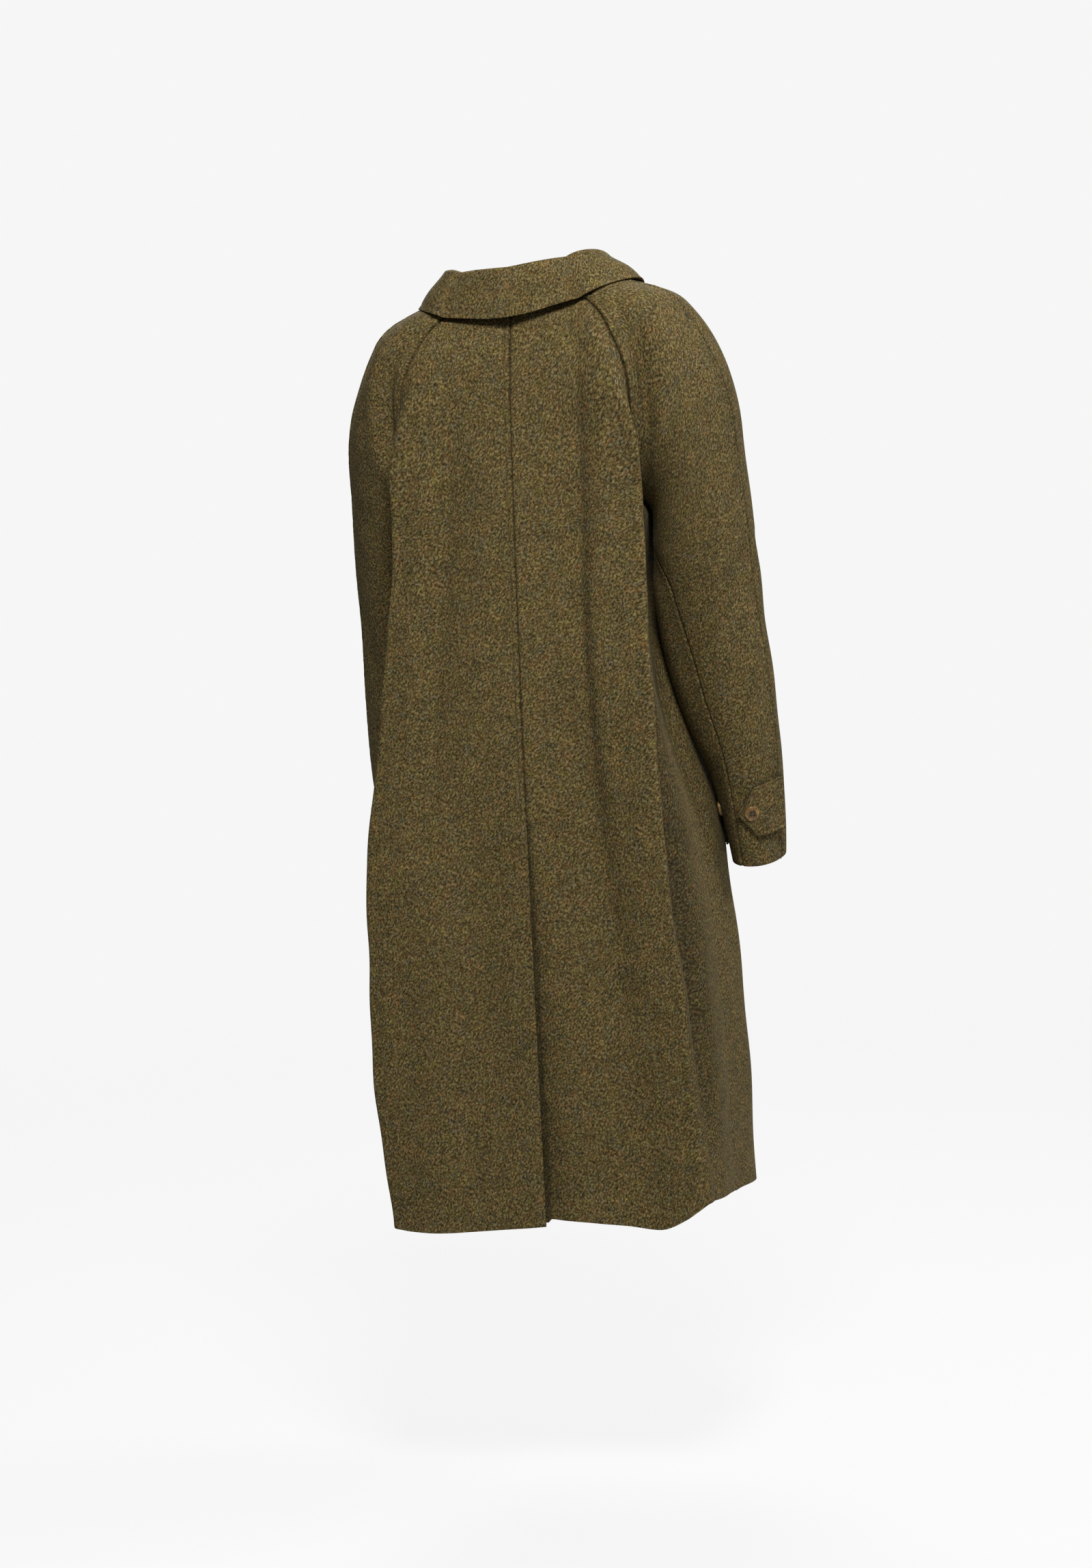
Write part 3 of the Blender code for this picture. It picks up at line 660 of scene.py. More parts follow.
def crisp_fold(panel, side):
    """The back panel's fold pinched to a crisp edge and pushed out over the sleeve."""
    apart = panel["first"] - panel["turn"][:, None]
    rise, over, depth = (
        read_crisp(column, BODY_ROWS)[:, None] for column in ("rise", "over", side + "_recess")
    )
    pinch = rise * lipped(apart / CRISP_HALF, *CRISP_LIP) * smooth(panel["last"] / PINCH_CALM)
    push = over * bell(apart / CRISP_OVER_HALF) * smooth(panel["last"] / PUSH_CALM)
    outward = np.array([OUTWARD[side], PUSH_BACK, 0.0])
    recess = depth * bell((apart - RECESS_PAST) / RECESS_HALF)
    pinch = pinch - recess * smooth(panel["last"] / SEAM_CALM)
    return panel["points"] + pinch[..., None] * panel["out"] + push[..., None] * outward


def slow_relief(panel, seed):
    """Slow unevenness of heavy cloth, never quite flat."""
    draw = np.random.default_rng(seed)
    relief = 0 * panel["first"]
    for wave in UNEVEN_WAVES:
        turn, phase = draw.uniform(0, 2 * np.pi, 2)
        along = panel["first"] * np.cos(turn) + panel["down"] * np.sin(turn)
        relief += UNEVEN * wave * np.sin(2 * np.pi * along / wave + phase)
    return relief


def seam_relief(away, down, stitched, deeper=1.0):
    """The groove at a seam and, where it is topstitched, the raised cloth and the dent of the stitches."""
    groove = -deeper * SEAM_DEPTH * bell(away / (SEAM_HALF * deeper**0.5))
    raised = TOPSTITCH_RISE * smooth(away / RISE_IN) * smooth((TOPSTITCH - away) / RISE_OUT)
    dent = -TOPSTITCH_DENT * bell((away - TOPSTITCH) / DENT_HALF)
    waves = sum(np.sin(2 * np.pi * down / wave + 9 * wave) for wave in PUCKER_WAVES) / len(PUCKER_WAVES)
    pucker = PUCKER * waves * smooth(away / PUCKER_IN) * np.exp(-away / PUCKER_REACH)
    return groove + pucker + stitched * (raised + dent)


def past_centre(panel, key, at):
    """Values of a panel mirrored past the centre line, at the given distances."""
    values = panel[key]
    columns = []
    for row, value in zip(np.abs(panel["points"][..., 0]), values):
        near = slice(0, int(np.argmax(row)) + 1)
        columns.append([np.interp(at, row[near], value[near, axis]) for axis in range(3)])
    return np.swapaxes(np.array(columns), 1, 2) * np.array([-1.0, 1.0, 1.0])


def add_lap(panel, lap, sink, away, clear):
    """Add a lap past the centre line to a panel, sunk under its neighbour; away is the lap's way."""
    inner = np.arange(lap - EDGE_STEPS[-1], LAP_NEAR, -LAP_STEP)
    at = np.concatenate([lap - EDGE_STEPS, inner[1:]])
    wide = {
        "points": np.concatenate([past_centre(panel, "points", at), panel["points"]], 1),
        "out": np.concatenate([past_centre(panel, "out", at), panel["out"]], 1),
        "first": np.concatenate([-at + 0 * panel["first"][:, :1], panel["first"]], 1),
        "last": np.concatenate([panel["last"][:, :1] + at, panel["last"]], 1),
        "down": np.concatenate([0 * at + panel["down"][:, :1], panel["down"]], 1),
        "turn": panel["turn"],
    }
    near = smooth(1 - (-away * wide["points"][..., 0] - clear) / LAP_FADE)
    wide["points"] = wide["points"] - wide["out"] * (sink[:, None] * near)[..., None]
    wide["lap_columns"] = len(at)
    return wide


def tuck_lap(points, sheet, over, sink):
    """Lay the lap of the vent just beneath the panel that covers it, before that panel is lifted."""
    lap = sheet["lap_columns"]
    for row in range(VENT_ROW, len(points)):
        away = -sheet["first"][row, :lap]
        on, way = (points_at(away, over["first"][row], over[key][row]) for key in ("flat", "out"))
        points[row, :lap] = on - sink[row] * way


def deselect():
    """Leave nothing selected."""
    bpy.ops.object.select_all(action="DESELECT")


def take(thing):
    """Make one object the selected and active one."""
    deselect()
    thing.select_set(True)
    bpy.context.view_layer.objects.active = thing


def apply_all(thing):
    """Apply every modifier of an object in order."""
    take(thing)
    for modifier in list(thing.modifiers):
        bpy.ops.object.modifier_apply(modifier=modifier.name)


def round_edges(thing, name, width, segments, angle):
    """Round every edge of an object that turns by more than an angle."""
    edge = thing.modifiers.new(name, "BEVEL")
    edge.width = width
    edge.segments = segments
    edge.limit_method = "ANGLE"
    edge.angle_limit = angle


def new_object(name, data):
    """An object for a mesh, a light or the camera, put in the scene."""
    thing = bpy.data.objects.new(name, data)
    bpy.context.scene.collection.objects.link(thing)
    return thing


def cloth(name, points, out, flat, material, keep=None, thick=CLOTH, seam=None):
    """A thin shell of cloth through a grid of points, with its flat cut as UV map and, if given, painted
    shade on its points.
    """
    rows, columns = points.shape[:2]
    if keep is None:
        keep = np.ones((rows - 1, columns - 1), bool)
    number = np.arange(rows * columns).reshape(rows, columns)
    corners = [number[:-1, :-1], number[:-1, 1:], number[1:, 1:], number[1:, :-1]]
    faces = np.stack([c[keep] for c in corners], -1)
    flat_points = points.reshape(-1, 3)
    flat_out = out.reshape(-1, 3)
    a, b, c, _ = faces[len(faces) // 2]
    if np.cross(flat_points[b] - flat_points[a], flat_points[c] - flat_points[a]) @ flat_out[a] < 0:
        faces = faces[:, ::-1]
    used, faces = np.unique(faces, return_inverse=True)
    faces = faces.reshape(-1, 4)
    mesh = bpy.data.meshes.new(name)
    mesh.from_pydata(flat_points[used].tolist(), [], faces.tolist())
    corner_vertex = np.zeros(len(mesh.loops), np.int32)
    mesh.loops.foreach_get("vertex_index", corner_vertex)
    cut = mesh.uv_layers.new(name="cut")
    cut.data.foreach_set("uv", flat.reshape(-1, 2)[used][corner_vertex].astype(np.float32).ravel())
    # Keep the painted shade on the points, in the attribute named seam
    if seam is not None:
        mesh.attributes.new("seam", "FLOAT", "POINT").data.foreach_set("value", seam.ravel()[used])
    thing = new_object(name, mesh)
    wall = thing.modifiers.new("cloth wall", "SOLIDIFY")
    wall.thickness = thick
    wall.offset = -1
    round_edges(thing, "turned edge", FREE_EDGE_ROUND, 2, EDGE_ANGLE)
    apply_all(thing)
    bpy.ops.object.shade_smooth_by_angle(angle=CREASE_ANGLE)
    mesh.materials.append(material)
    return thing


def flat_cut(name, panel, number):
    """The flat cut of a panel in metres as seen from outside, set apart from the other pieces' cuts."""
    rightward = name in ("back_right", "front_left", "sleeve_back_left", "sleeve_front_right")
    across = panel["first"] if rightward else -panel["first"]
    return np.stack([across + CUT_APART[0] * number, CUT_APART[1] * number - panel["down"]], -1)


def join_arrays(name, shapes, material):
    """One mesh from many small shapes, each a pair of vertices and faces."""
    vertices = []
    faces = []
    count = 0
    for points, polygons in shapes:
        vertices.append(points)
        faces.extend([[k + count for k in polygon] for polygon in polygons])
        count += len(points)
    mesh = bpy.data.meshes.new(name)
    mesh.from_pydata(np.concatenate(vertices).tolist(), [], faces)
    mesh.shade_smooth()
    mesh.materials.append(material)
    return new_object(name, mesh)


def model_stitch():
    """One stitch as a small bowed grain of thread: its points along, across and up, and its faces."""
    deselect()
    bpy.ops.mesh.primitive_uv_sphere_add(segments=6, ring_count=5, radius=1)
    grain = bpy.context.active_object
    points = np.array([v.co for v in grain.data.vertices])[:, [2, 0, 1]]
    faces = [list(p.vertices) for p in grain.data.polygons]
    bpy.data.objects.remove(grain)
    return points, faces


def stitch_row(path, out, grain, pitch=STITCH_PITCH, length=STITCH_LENGTH, crosswise=False):
    """Stitches along a path on the cloth; crosswise ones lie square to it."""
    points, faces = grain
    along = lengths(path)
    count = max(1, int(along[-1] / pitch))
    at = (np.arange(count) + 0.5) * along[-1] / count
    ahead = points_at(at + pitch / 3, along, path)
    behind = points_at(at - pitch / 3, along, path)
    shapes = []
    place = points_at(at, along, path)
    for centre, way, high in zip(place, unit(ahead - behind), unit(points_at(at, along, out))):
        beside = np.cross(high, way)
        if crosswise:
            way, beside = beside, way
        lift = THREAD_HALF * points[:, 2] + STITCH_BOW * (1 - 2 * points[:, 0] ** 2)
        shape = centre + np.outer(points[:, 0] * length / 2, way)
        shape = shape + np.outer(points[:, 1] * THREAD_HALF, beside) + np.outer(lift, high)
        shapes.append((shape, faces))
    return shapes


# Material nodes
def set_inputs(tree, node, inputs):
    """Give a node's inputs their values; each is a value or another node's socket."""
    for key, value in inputs.items():
        if isinstance(value, bpy.types.NodeSocket):
            tree.links.new(value, node.inputs[key])
        else:
            node.inputs[key].default_value = value


def add(tree, kind, inputs=None, **settings):
    """A shader node with its settings and inputs."""
    node = tree.nodes.new("ShaderNode" + kind)
    for key, value in settings.items():
        setattr(node, key, value)
    set_inputs(tree, node, inputs or {})
    return node


def ramp(tree, value, stops):
    """A colour ramp with its stops from low to high."""
    node = add(tree, "ValToRGB", {"Fac": value})
    elements = node.color_ramp.elements
    elements[0].position = stops[0][0]
    elements[1].position = stops[-1][0]
    for place, _ in stops[1:-1]:
        elements.new(place)
    for number, (_, colour) in enumerate(stops):
        elements[number].color = (*colour, 1)
    return node.outputs["Color"]


def noise(tree, place, scale, detail, roughness):
    """Coloured noise on the flat cut."""
    inputs = {"Vector": place, "Scale": scale, "Detail": detail, "Roughness": roughness}
    return add(tree, "TexNoise", inputs, noise_dimensions="2D").outputs["Color"]


def darkened(tree, colour, mask, least):
    """A colour made darker, at most down to the least share, where a mask on the mesh is high; the masks
    here hold painted shade.
    """
    marked = add(tree, "Attribute", attribute_name=mask)
    left = add(tree, "MapRange", {"Value": marked.outputs["Fac"], "To Min": 1.0, "To Max": least})
    inputs = {0: colour, "Scale": left.outputs["Result"]}
    return add(tree, "VectorMath", inputs, operation="SCALE").outputs["Vector"]


def start_group(name, inputs, outputs):
    """An empty shader group with named sockets, and its two end nodes."""
    group = bpy.data.node_groups.new(name, "ShaderNodeTree")
    for label, kind in inputs:
        group.interface.new_socket(label, in_out="INPUT", socket_type=kind)
    for label, kind in outputs:
        group.interface.new_socket(label, in_out="OUTPUT", socket_type=kind)
    return group, group.nodes.new("NodeGroupInput"), group.nodes.new("NodeGroupOutput")


def start_material(name):
    """A new material with its shader."""
    material = bpy.data.materials.new(name)
    material.use_nodes = True
    return material, material.node_tree, material.node_tree.nodes["Principled BSDF"]


def tweed_group():
    """Olive wool spun with yellow, rust and slate, with a fine twill grain and soft clouds of colour."""
    group, start, end = start_group(
        "tweed",
        [("Cut", "NodeSocketVector"), ("Base", "NodeSocketColor")],
        [("Colour", "NodeSocketColor"), ("Height", "NodeSocketFloat")],
    )
    place = start.outputs["Cut"]
    turned = add(group, "VectorRotate", {"Vector": place, "Angle": TWILL_TURN}, rotation_type="Z_AXIS")
    drawn = add(group, "Mapping", {"Vector": turned.outputs["Vector"], "Scale": (0.7, 1.0, 1.0)})
    along = drawn.outputs["Vector"]
    tuft, slub = (
        add(group, "TexVoronoi", {"Vector": along, "Scale": size}, voronoi_dimensions="2D").outputs["Color"]
        for size in (520.0, 210.0)
    )
    yarns = noise(group, along, 430.0, 2.0, 0.7)
    fleck = noise(group, along, 170.0, 1.5, 0.6)
    cloud = noise(group, place, 40.0, 3.0, 0.6)
    shade = TWEED_SHADE
    for source, weight in ((cloud, 0.15), (slub, 0.10), (tuft, 0.25), (yarns, 1.80)):
        value = add(group, "SeparateColor", {"Color": source}).outputs["Red"]
        inputs = {0: value, 1: weight, 2: shade}
        shade = add(group, "Math", inputs, operation="MULTIPLY_ADD").outputs["Value"]
    both = add(group, "Mix", {"Factor": 0.42, "A": fleck, "B": cloud}, data_type="RGBA")
    parts = add(group, "SeparateColor", {"Color": both.outputs["Result"]})
    colour = (1.0, 1.0, 1.0, 1.0)
    for channel, tint, low, high, most in (
        ("Red", (1.32, 0.95, 0.84, 1), 0.47, 0.66, 0.72),
        ("Green", (1.22, 1.32, 0.90, 1), 0.48, 0.66, 0.68),
        ("Blue", (0.80, 0.95, 1.45, 1), 0.49, 0.68, 0.70),
    ):
        inputs = {"Value": parts.outputs[channel], "From Min": low, "From Max": high, "To Max": most}
        inputs = {"Factor": add(group, "MapRange", inputs).outputs["Result"], "A": colour, "B": tint}
        colour = add(group, "Mix", inputs, data_type="RGBA").outputs["Result"]
    for tone in (ramp(group, shade, TWEED_STOPS), start.outputs["Base"]):
        colour = add(group, "VectorMath", {0: colour, 1: tone}, operation="MULTIPLY").outputs["Vector"]
    set_inputs(group, end, {"Colour": colour, "Height": shade})
    return group


def tweed_material(group):
    """Napped olive tweed, used for every cloth piece, darkened by the painted shade kept on its pieces."""
    material, tree, shader = start_material("olive tweed")
    cut = add(tree, "UVMap", uv_map="cut")
    weave = add(tree, "Group", node_tree=group)
    set_inputs(tree, weave, {"Cut": cut.outputs["UV"], "Base": (0.82, 0.77, 0.62, 1)})
    bump = add(tree, "Bump", {"Height": weave.outputs["Height"], "Strength": 0.05, "Distance": 0.0004})
    # The base colour takes the painted shade from the attribute named seam
    set_inputs(tree, shader, {
        "Base Color": darkened(tree, weave.outputs["Colour"], "seam", 0.45),
        "Normal": bump.outputs["Normal"],
        "Roughness": 0.95,
        "Specular IOR Level": 0.12,
        "Sheen Weight": 0.03,
        "Sheen Roughness": 0.24,
        "Sheen Tint": (0.62, 0.55, 0.34, 1),
    })
    return material


def thread_material():
    """Twisted olive thread."""
    material, tree, shader = start_material("olive thread")
    place = add(tree, "TexCoord")
    twist = add(tree, "TexNoise", {"Vector": place.outputs["Object"], "Scale": 1400.0, "Detail": 2.0})
    colour = ramp(tree, twist.outputs["Fac"], THREAD_STOPS)
    set_inputs(tree, shader, {"Base Color": colour, "Roughness": 0.75})
    return material


def horn_material():
    """Polished brown horn with streaks of amber and near black, its dished middle darkened as painted
    shade.
    """
    material, tree, shader = start_material("brown horn")
    place = add(tree, "TexCoord")
    run = add(tree, "Mapping", {"Vector": place.outputs["Object"], "Scale": (1.0, 1.0, 0.35)})
    streak = add(tree, "TexNoise", {
        "Vector": run.outputs["Vector"], "Scale": 260.0, "Detail": 4.0, "Roughness": 0.6, "Distortion": 0.8,
    }).outputs["Fac"]
    polish = add(tree, "MapRange", {"Value": streak, "To Min": 0.22, "To Max": 0.42})
    # The dished middle is darkened as painted shade
    set_inputs(tree, shader, {
        "Base Color": darkened(tree, ramp(tree, streak, HORN_STOPS), "dished", 0.22),
        "Roughness": polish.outputs["Result"],
        "Specular IOR Level": 0.35,
        "Coat Weight": 0.10,
        "Coat Roughness": 0.12,
    })
    return material


# Cloth pieces
def panel_relief(name, sheet, number, sewn_to_vent):
    """Folds, unevenness and seams of one panel, as distances in (below zero) and out."""
    sleeve = name.startswith("sleeve")
    back = "back" in name
    first, last, down = (sheet[key] for key in ("first", "last", "down"))
    stitched = (SLEEVE_ROWS <= 1).astype(float)[:, None] if sleeve else 0
    calm = smooth(last / SEAM_CALM) * smooth(np.abs(first) / SEAM_CALM)
    relief = calm * (fold_relief(name, sheet) + slow_relief(sheet, number))
    relief = relief + seam_relief(last, down, stitched)
    if sleeve:
        return relief + seam_relief(first, down, 1.0 if back else 0, OVERARM_DEEPER)
    if back:
        stitched = 1.0 if name == "back_left" else 0
        relief = relief + sewn_to_vent * seam_relief(np.maximum(first, 0), down, stitched)
    return relief


def painted_panel_shade(name, sheet, sewn_to_vent):
    """Painted shade on a panel: along its seams, as shadow under the vent's edge and in the hollow of the
    right back.
    """
    first = sheet["first"]
    painted_shade = bell(sheet["last"] / SEAM_SHADE)
    if name.startswith("sleeve"):
        overarm = bell(first / (SEAM_SHADE if "back" in name else OVERARM_SHADE))
        return ARM_SEAM_PAINTED_SHADE * painted_shade + OVERARM_PAINTED_SHADE * overarm
    if "back" in name:
        painted_shade = painted_shade + sewn_to_vent * bell(first / SEAM_SHADE)
    if name == "back_right":
        # Painted shadow under and beside the left panel's edge at the vent
        painted_shade = np.maximum(painted_shade, (1 - sewn_to_vent) * bell(np.maximum(first, 0) / VENT_SHADE))
        # Painted shade in the hollow past the crisp fold, deepest where the recess is
        past = first - sheet["turn"][:, None]
        deep = read_crisp("right_recess", BODY_ROWS)[:, None] / CRISP["right_recess"].max()
        hollow = bell((past - HOLLOW_PAST) / HOLLOW_HALF) * smooth(past / HOLLOW_START)
        painted_shade = np.maximum(painted_shade, HOLLOW_SHADE * deep * hollow)
    return painted_shade


def build_panels(tweed):
    """Every large piece of cloth with its folds, seams and laps."""
    panel = plain_panels()
    plain = 0 * BODY_ROWS
    under = CLOTH + LAY_GAP
    down = np.clip((BODY_ROWS - VENT_TOP) / (2 - VENT_TOP), 0, 1)
    vent_sink = np.where(BODY_ROWS >= VENT_TOP, under + VENT_OPEN * down**VENT_SPREAD, 0)
    front_sink = under + 2 * LAY_GAP + plain
    sewn_to_vent = (BODY_ROWS < VENT_TOP).astype(float)[:, None]
    to_hem = smooth((BODY_ROWS - HEM_STATION) / (2 - HEM_STATION))[:, None]
    wide = dict(panel)
    wide["back_right"] = add_lap(panel["back_right"], VENT_LAP, vent_sink, 1, 0)
    wide["front_right"] = add_lap(panel["front_right"], FRONT_LAP, front_sink, 1, FRONT_LAP + LAP_CLEAR)
    wide["front_left"] = add_lap(panel["front_left"], FRONT_LAP, plain, -1, 0)
    pieces = {}
    finished = {}
    for number, (name, sheet) in enumerate(sorted(wide.items())):
        side = name.split("_")[-1]
        back = name.startswith("back")
        form = crisp_fold(sheet, side) if back else sheet["points"]
        points = form + panel_relief(name, sheet, number, sewn_to_vent)[..., None] * sheet["out"]
        if back:
            points[..., 2] += to_hem * read(HEM, side, np.clip(sheet["first"], 0, None))
        finished[name] = {**sheet, "points": points, "flat": points}
        keep = None
        if name == "back_right":
            tuck_lap(points, sheet, finished["back_left"], vent_sink)
            keep = np.ones(np.array(points.shape[:2]) - 1, bool)
            keep[:VENT_ROW, :sheet["lap_columns"]] = False
        if name == "back_left":
            lift = VENT_LIFT * (down**0.5)[:, None] * bell(sheet["first"] / VENT_LIFT_HALF)
            points = points + lift[..., None] * sheet["out"]
            finished[name]["points"] = points
        flat = flat_cut(name, sheet, number)
        # The painted shade of this panel, for its tweed to darken
        painted_shade = painted_panel_shade(name, sheet, sewn_to_vent)
        pieces[name] = cloth(name + "_panel", pose(points), sheet["out"], flat, tweed, keep, seam=painted_shade)
    return panel, finished, pieces


def build_topstitching(finished, thread, grain):
    """The rows of stitches beside the seams and along the front edge, one joined mesh for each panel."""
    every = slice(0, None)
    runs = [("back_left", STITCH_COLUMN, slice(0, VENT_ROW)), ("front_left", STITCH_COLUMN, every)]
    for side in ("left", "right"):
        runs.append(("sleeve_back_" + side, STITCH_COLUMN, every))
        for face in ("back", "front"):
            runs.append(("sleeve_" + face + "_" + side, -1 - STITCH_COLUMN, slice(0, UNDERARM)))
    sewn = {}
    for name, column, rows in runs:
        sheet = finished[name]
        shapes = stitch_row(pose(sheet["points"][rows, column]), sheet["out"][rows, column], grain)
        sewn.setdefault(name, []).extend(shapes)
    sheet = finished["back_left"]
    path = []
    out = []
    for x, z in between(np.array(VENT_STITCH), np.linspace(0, 1, 30)[:, None]):
        row = int(np.argmin(np.abs(sheet["points"][:, 0, 2] - z)))
        column = int(np.argmin(np.abs(sheet["points"][row, :, 0] - x)))
        path.append((x, sheet["points"][row, column, 1], z))
        out.append(sheet["out"][row, column])
    sewn["back_left"].extend(stitch_row(pose(path), np.array(out), grain))
    return {name: join_arrays(name + "_stitching", shapes, thread) for name, shapes in sewn.items()}


def neck_line(panel):
    """The neck seam of one side from the centre back to the centre front, on the left-hand form."""
    back = panel["back_left"]["points"][0]
    rear = panel["sleeve_back_left"]["points"][0][::-1]
    fore = panel["sleeve_front_left"]["points"][0]
    front = panel["front_left"]["points"][0][::-1]
    line = np.concatenate([back, rear[1:], fore[1:], front[1:]])
    along = lengths(line)
    even = np.linspace(0, along[-1] - COLLAR_FRONT_GAP, COLLAR_ALONG // 2 + 1)
    return points_at(even, along, line)


def through(points, count):
    """A smooth line through a few points, as a table read along its length."""
    along = lengths(points)
    source = {"along": along, **dict(zip("xyz", points.T))}
    even = np.linspace(0, along[-1], count)
    return np.stack([read(source, name, even) for name in "xyz"], -1)


def build_collar(panel, tweed, thread, grain):
    """Stand, roll and turned-down fall in one piece round the neck, stitched along its edge."""
    half = neck_line(panel)
    along = np.linspace(0, 1, len(half))
    run = np.gradient(half, axis=0)
    out = unit(np.stack([-run[:, 1], run[:, 0], 0 * run[:, 0]], -1))
    out = np.stack([calm_down(column) for column in out.T], -1)
    out[0] = (0, 1, 0)
    out[-1] = (0, -1, 0)
    out = unit(out)

    def place(away, rise):
        return half + away[:, None] * out + rise[:, None] * np.array([0.0, 0.0, 1.0])

    columns = ("stand", "roll_out", "edge_out", "edge_rise")
    stand, lean, edge, drop = (read(COLLAR, column, along) for column in columns)
    zero = 0 * along
    section = [
        place(zero - COLLAR_TUCK_IN, zero - COLLAR_TUCK_DOWN),
        place(zero, zero + COLLAR_BASE_GAP),
    ]
    for part, height, forward, up in zip(*COLLAR_ROLL_POINTS.values()):
        section.append(place(lean * part + forward * COLLAR_ROLL, stand * height + up * COLLAR_ROLL))
    middle = COLLAR_FALL_MIDDLE
    section.append(place((lean + 2 * COLLAR_ROLL + edge) * middle, (stand + drop) * middle))
    section.append(place(edge, drop))
    left = np.stack(section, 1)
    right = left[:0:-1] * np.array([-1.0, 1.0, 1.0])
    whole = np.concatenate([right, left])
    lines = np.array([through(line, COLLAR_OVER + 1) for line in whole])
    way = -normals(lines, (0, -1, 0))
    way = way if way[len(way) // 2, -1, 1] > 0 else -way
    over = lengths(lines)
    down = lengths(lines[:, -1])[:, None] + 0 * over
    to_edge = over[:, -1:] - over
    relief = -TOPSTITCH_DENT * bell((to_edge - COLLAR_STITCH) / DENT_HALF)
    lines = lines + relief[..., None] * way
    flat = np.stack([down, over], -1) + np.array(COLLAR_CUT_AT)
    collar = cloth("collar_piece", pose(lines), way, flat, tweed, thick=COLLAR_THICK)
    column = int(np.argmin(np.abs(to_edge[len(lines) // 2] - COLLAR_STITCH)))
    shapes = []
    near_edge = slice(column // 2, column)
    for part in ((slice(2, -2), column), (2, near_edge), (-3, near_edge)):
        shapes += stitch_row(pose(lines[part]), way[part], grain)
    return collar, join_arrays("collar_stitching", shapes, thread)


def laid_piece(name, points, way, to_edge, lift, number, tweed):
    """A small piece of cloth laid on another, its edges turned down a little and a painted shadow along
    them.
    """
    relief = lift + CLOTH - TRIM_EDGE_SINK * (1 - smooth(to_edge / TRIM_ROLL))
    relief = relief - TOPSTITCH_DENT * bell((to_edge - TRIM_STITCH) / DENT_HALF)
    top = points + relief[..., None] * way
    apart, low = TRIM_CUT_AT
    flat = np.stack([lengths(points) + apart * number, lengths_down(points) + low], -1)
    # The painted shadow runs along the edges
    return top, cloth(name, pose(top), way, flat, tweed, seam=bell(to_edge / TRIM_SHADE))


def build_tab(side, number, tweed, thread, grain):
    """The pointed cuff tab, sewn into the overarm seam and laid round the back of the sleeve."""
    first = float(read(SEAM_TURN, side, TAB_STATION)) + TAB_SEAM_CLEAR
    straight, pointed, wide = TAB_CELLS
    angles = np.concatenate([
        np.linspace(first, TAB_CORNER_ANGLE, straight + 1),
        np.linspace(TAB_CORNER_ANGLE, TAB_TIP_ANGLE, pointed + 1)[1:],
    ])

    def point_at(angle, across):
        taper = np.clip((TAB_TIP_ANGLE - angle) / (TAB_TIP_ANGLE - TAB_CORNER_ANGLE), TAB_BLUNT, 1)
        station = TAB_STATION + TAB_HALF_WIDTH / SLEEVE_PER_STATION * taper * across
        return mirrored(ring(station, angle + 0 * station), side), taper

    across = np.sin(np.linspace(-np.pi / 2, np.pi / 2, wide + 1))[None, :]
    points, taper = point_at(angles[:, None], across)
    way = normals(points, (OUTWARD[side], 0, 0))
    run = lengths_down(points)
    to_side = (1 - np.abs(across)) * TAB_HALF_WIDTH * taper * np.where(taper < 1, TAB_SLANT, 1)
    to_edge = np.minimum(to_side, run[-1:] - run + TAB_TIP_CLEAR)
    turned = angles[:, None] - first
    lift = TAB_LIFT + TAB_STRAP_LIFT * bell(turned / TAB_STRAP_TURN) * smooth(turned / TAB_STRAP_START)
    _, tab = laid_piece("cuff_tab_" + side + "_piece", points, way, to_edge, lift, number, tweed)

    # The row of stitches runs inside the edge, round the point and back
    inset = 1 - TRIM_STITCH / TAB_HALF_WIDTH
    corner = TAB_CORNER_ANGLE - TAB_STITCH_CORNER
    tip = TAB_TIP_ANGLE - TAB_STITCH_TIP
    far = np.linspace(0, TAB_STITCH_AT[-1], 160)
    turned = np.interp(far, TAB_STITCH_AT, (first, corner, tip, corner, first))
    aside = np.interp(far, TAB_STITCH_AT, (inset, inset, 0, -inset, -inset))
    path = mirrored(ring(TAB_STATION + TAB_HALF_WIDTH / SLEEVE_PER_STATION * aside, turned), side)
    near = [int(np.argmin(np.linalg.norm(points.reshape(-1, 3) - p, axis=1))) for p in path]
    out = way.reshape(-1, 3)[near]
    shapes = stitch_row(pose(path + (TAB_LIFT + CLOTH - TOPSTITCH_DENT) * out), out, grain)

    # The buttonhole runs back from the button along the middle of the tab
    centre = np.array(button_place("cuff_button_" + side, (0, 1, 0)).translation)
    middle = wide // 2
    button_at = int(np.argmin(np.linalg.norm(pose(points[:, middle]) - centre, axis=1)))
    angle = angles[button_at] - np.linspace(0, BUTTONHOLE_TURN, 24)
    hole = mirrored(ring(TAB_STATION + 0 * angle, angle), side)
    out = np.repeat(way[button_at:button_at + 1, middle], len(hole), 0)
    hole = pose(hole + (TAB_LIFT + CLOTH + BUTTONHOLE_RISE * STITCH_BOW) * out)
    shapes += stitch_row(hole, out, grain, BUTTONHOLE_PITCH, BUTTONHOLE_WIDTH, crosswise=True)
    return tab, join_arrays("cuff_tab_" + side + "_stitching", shapes, thread)


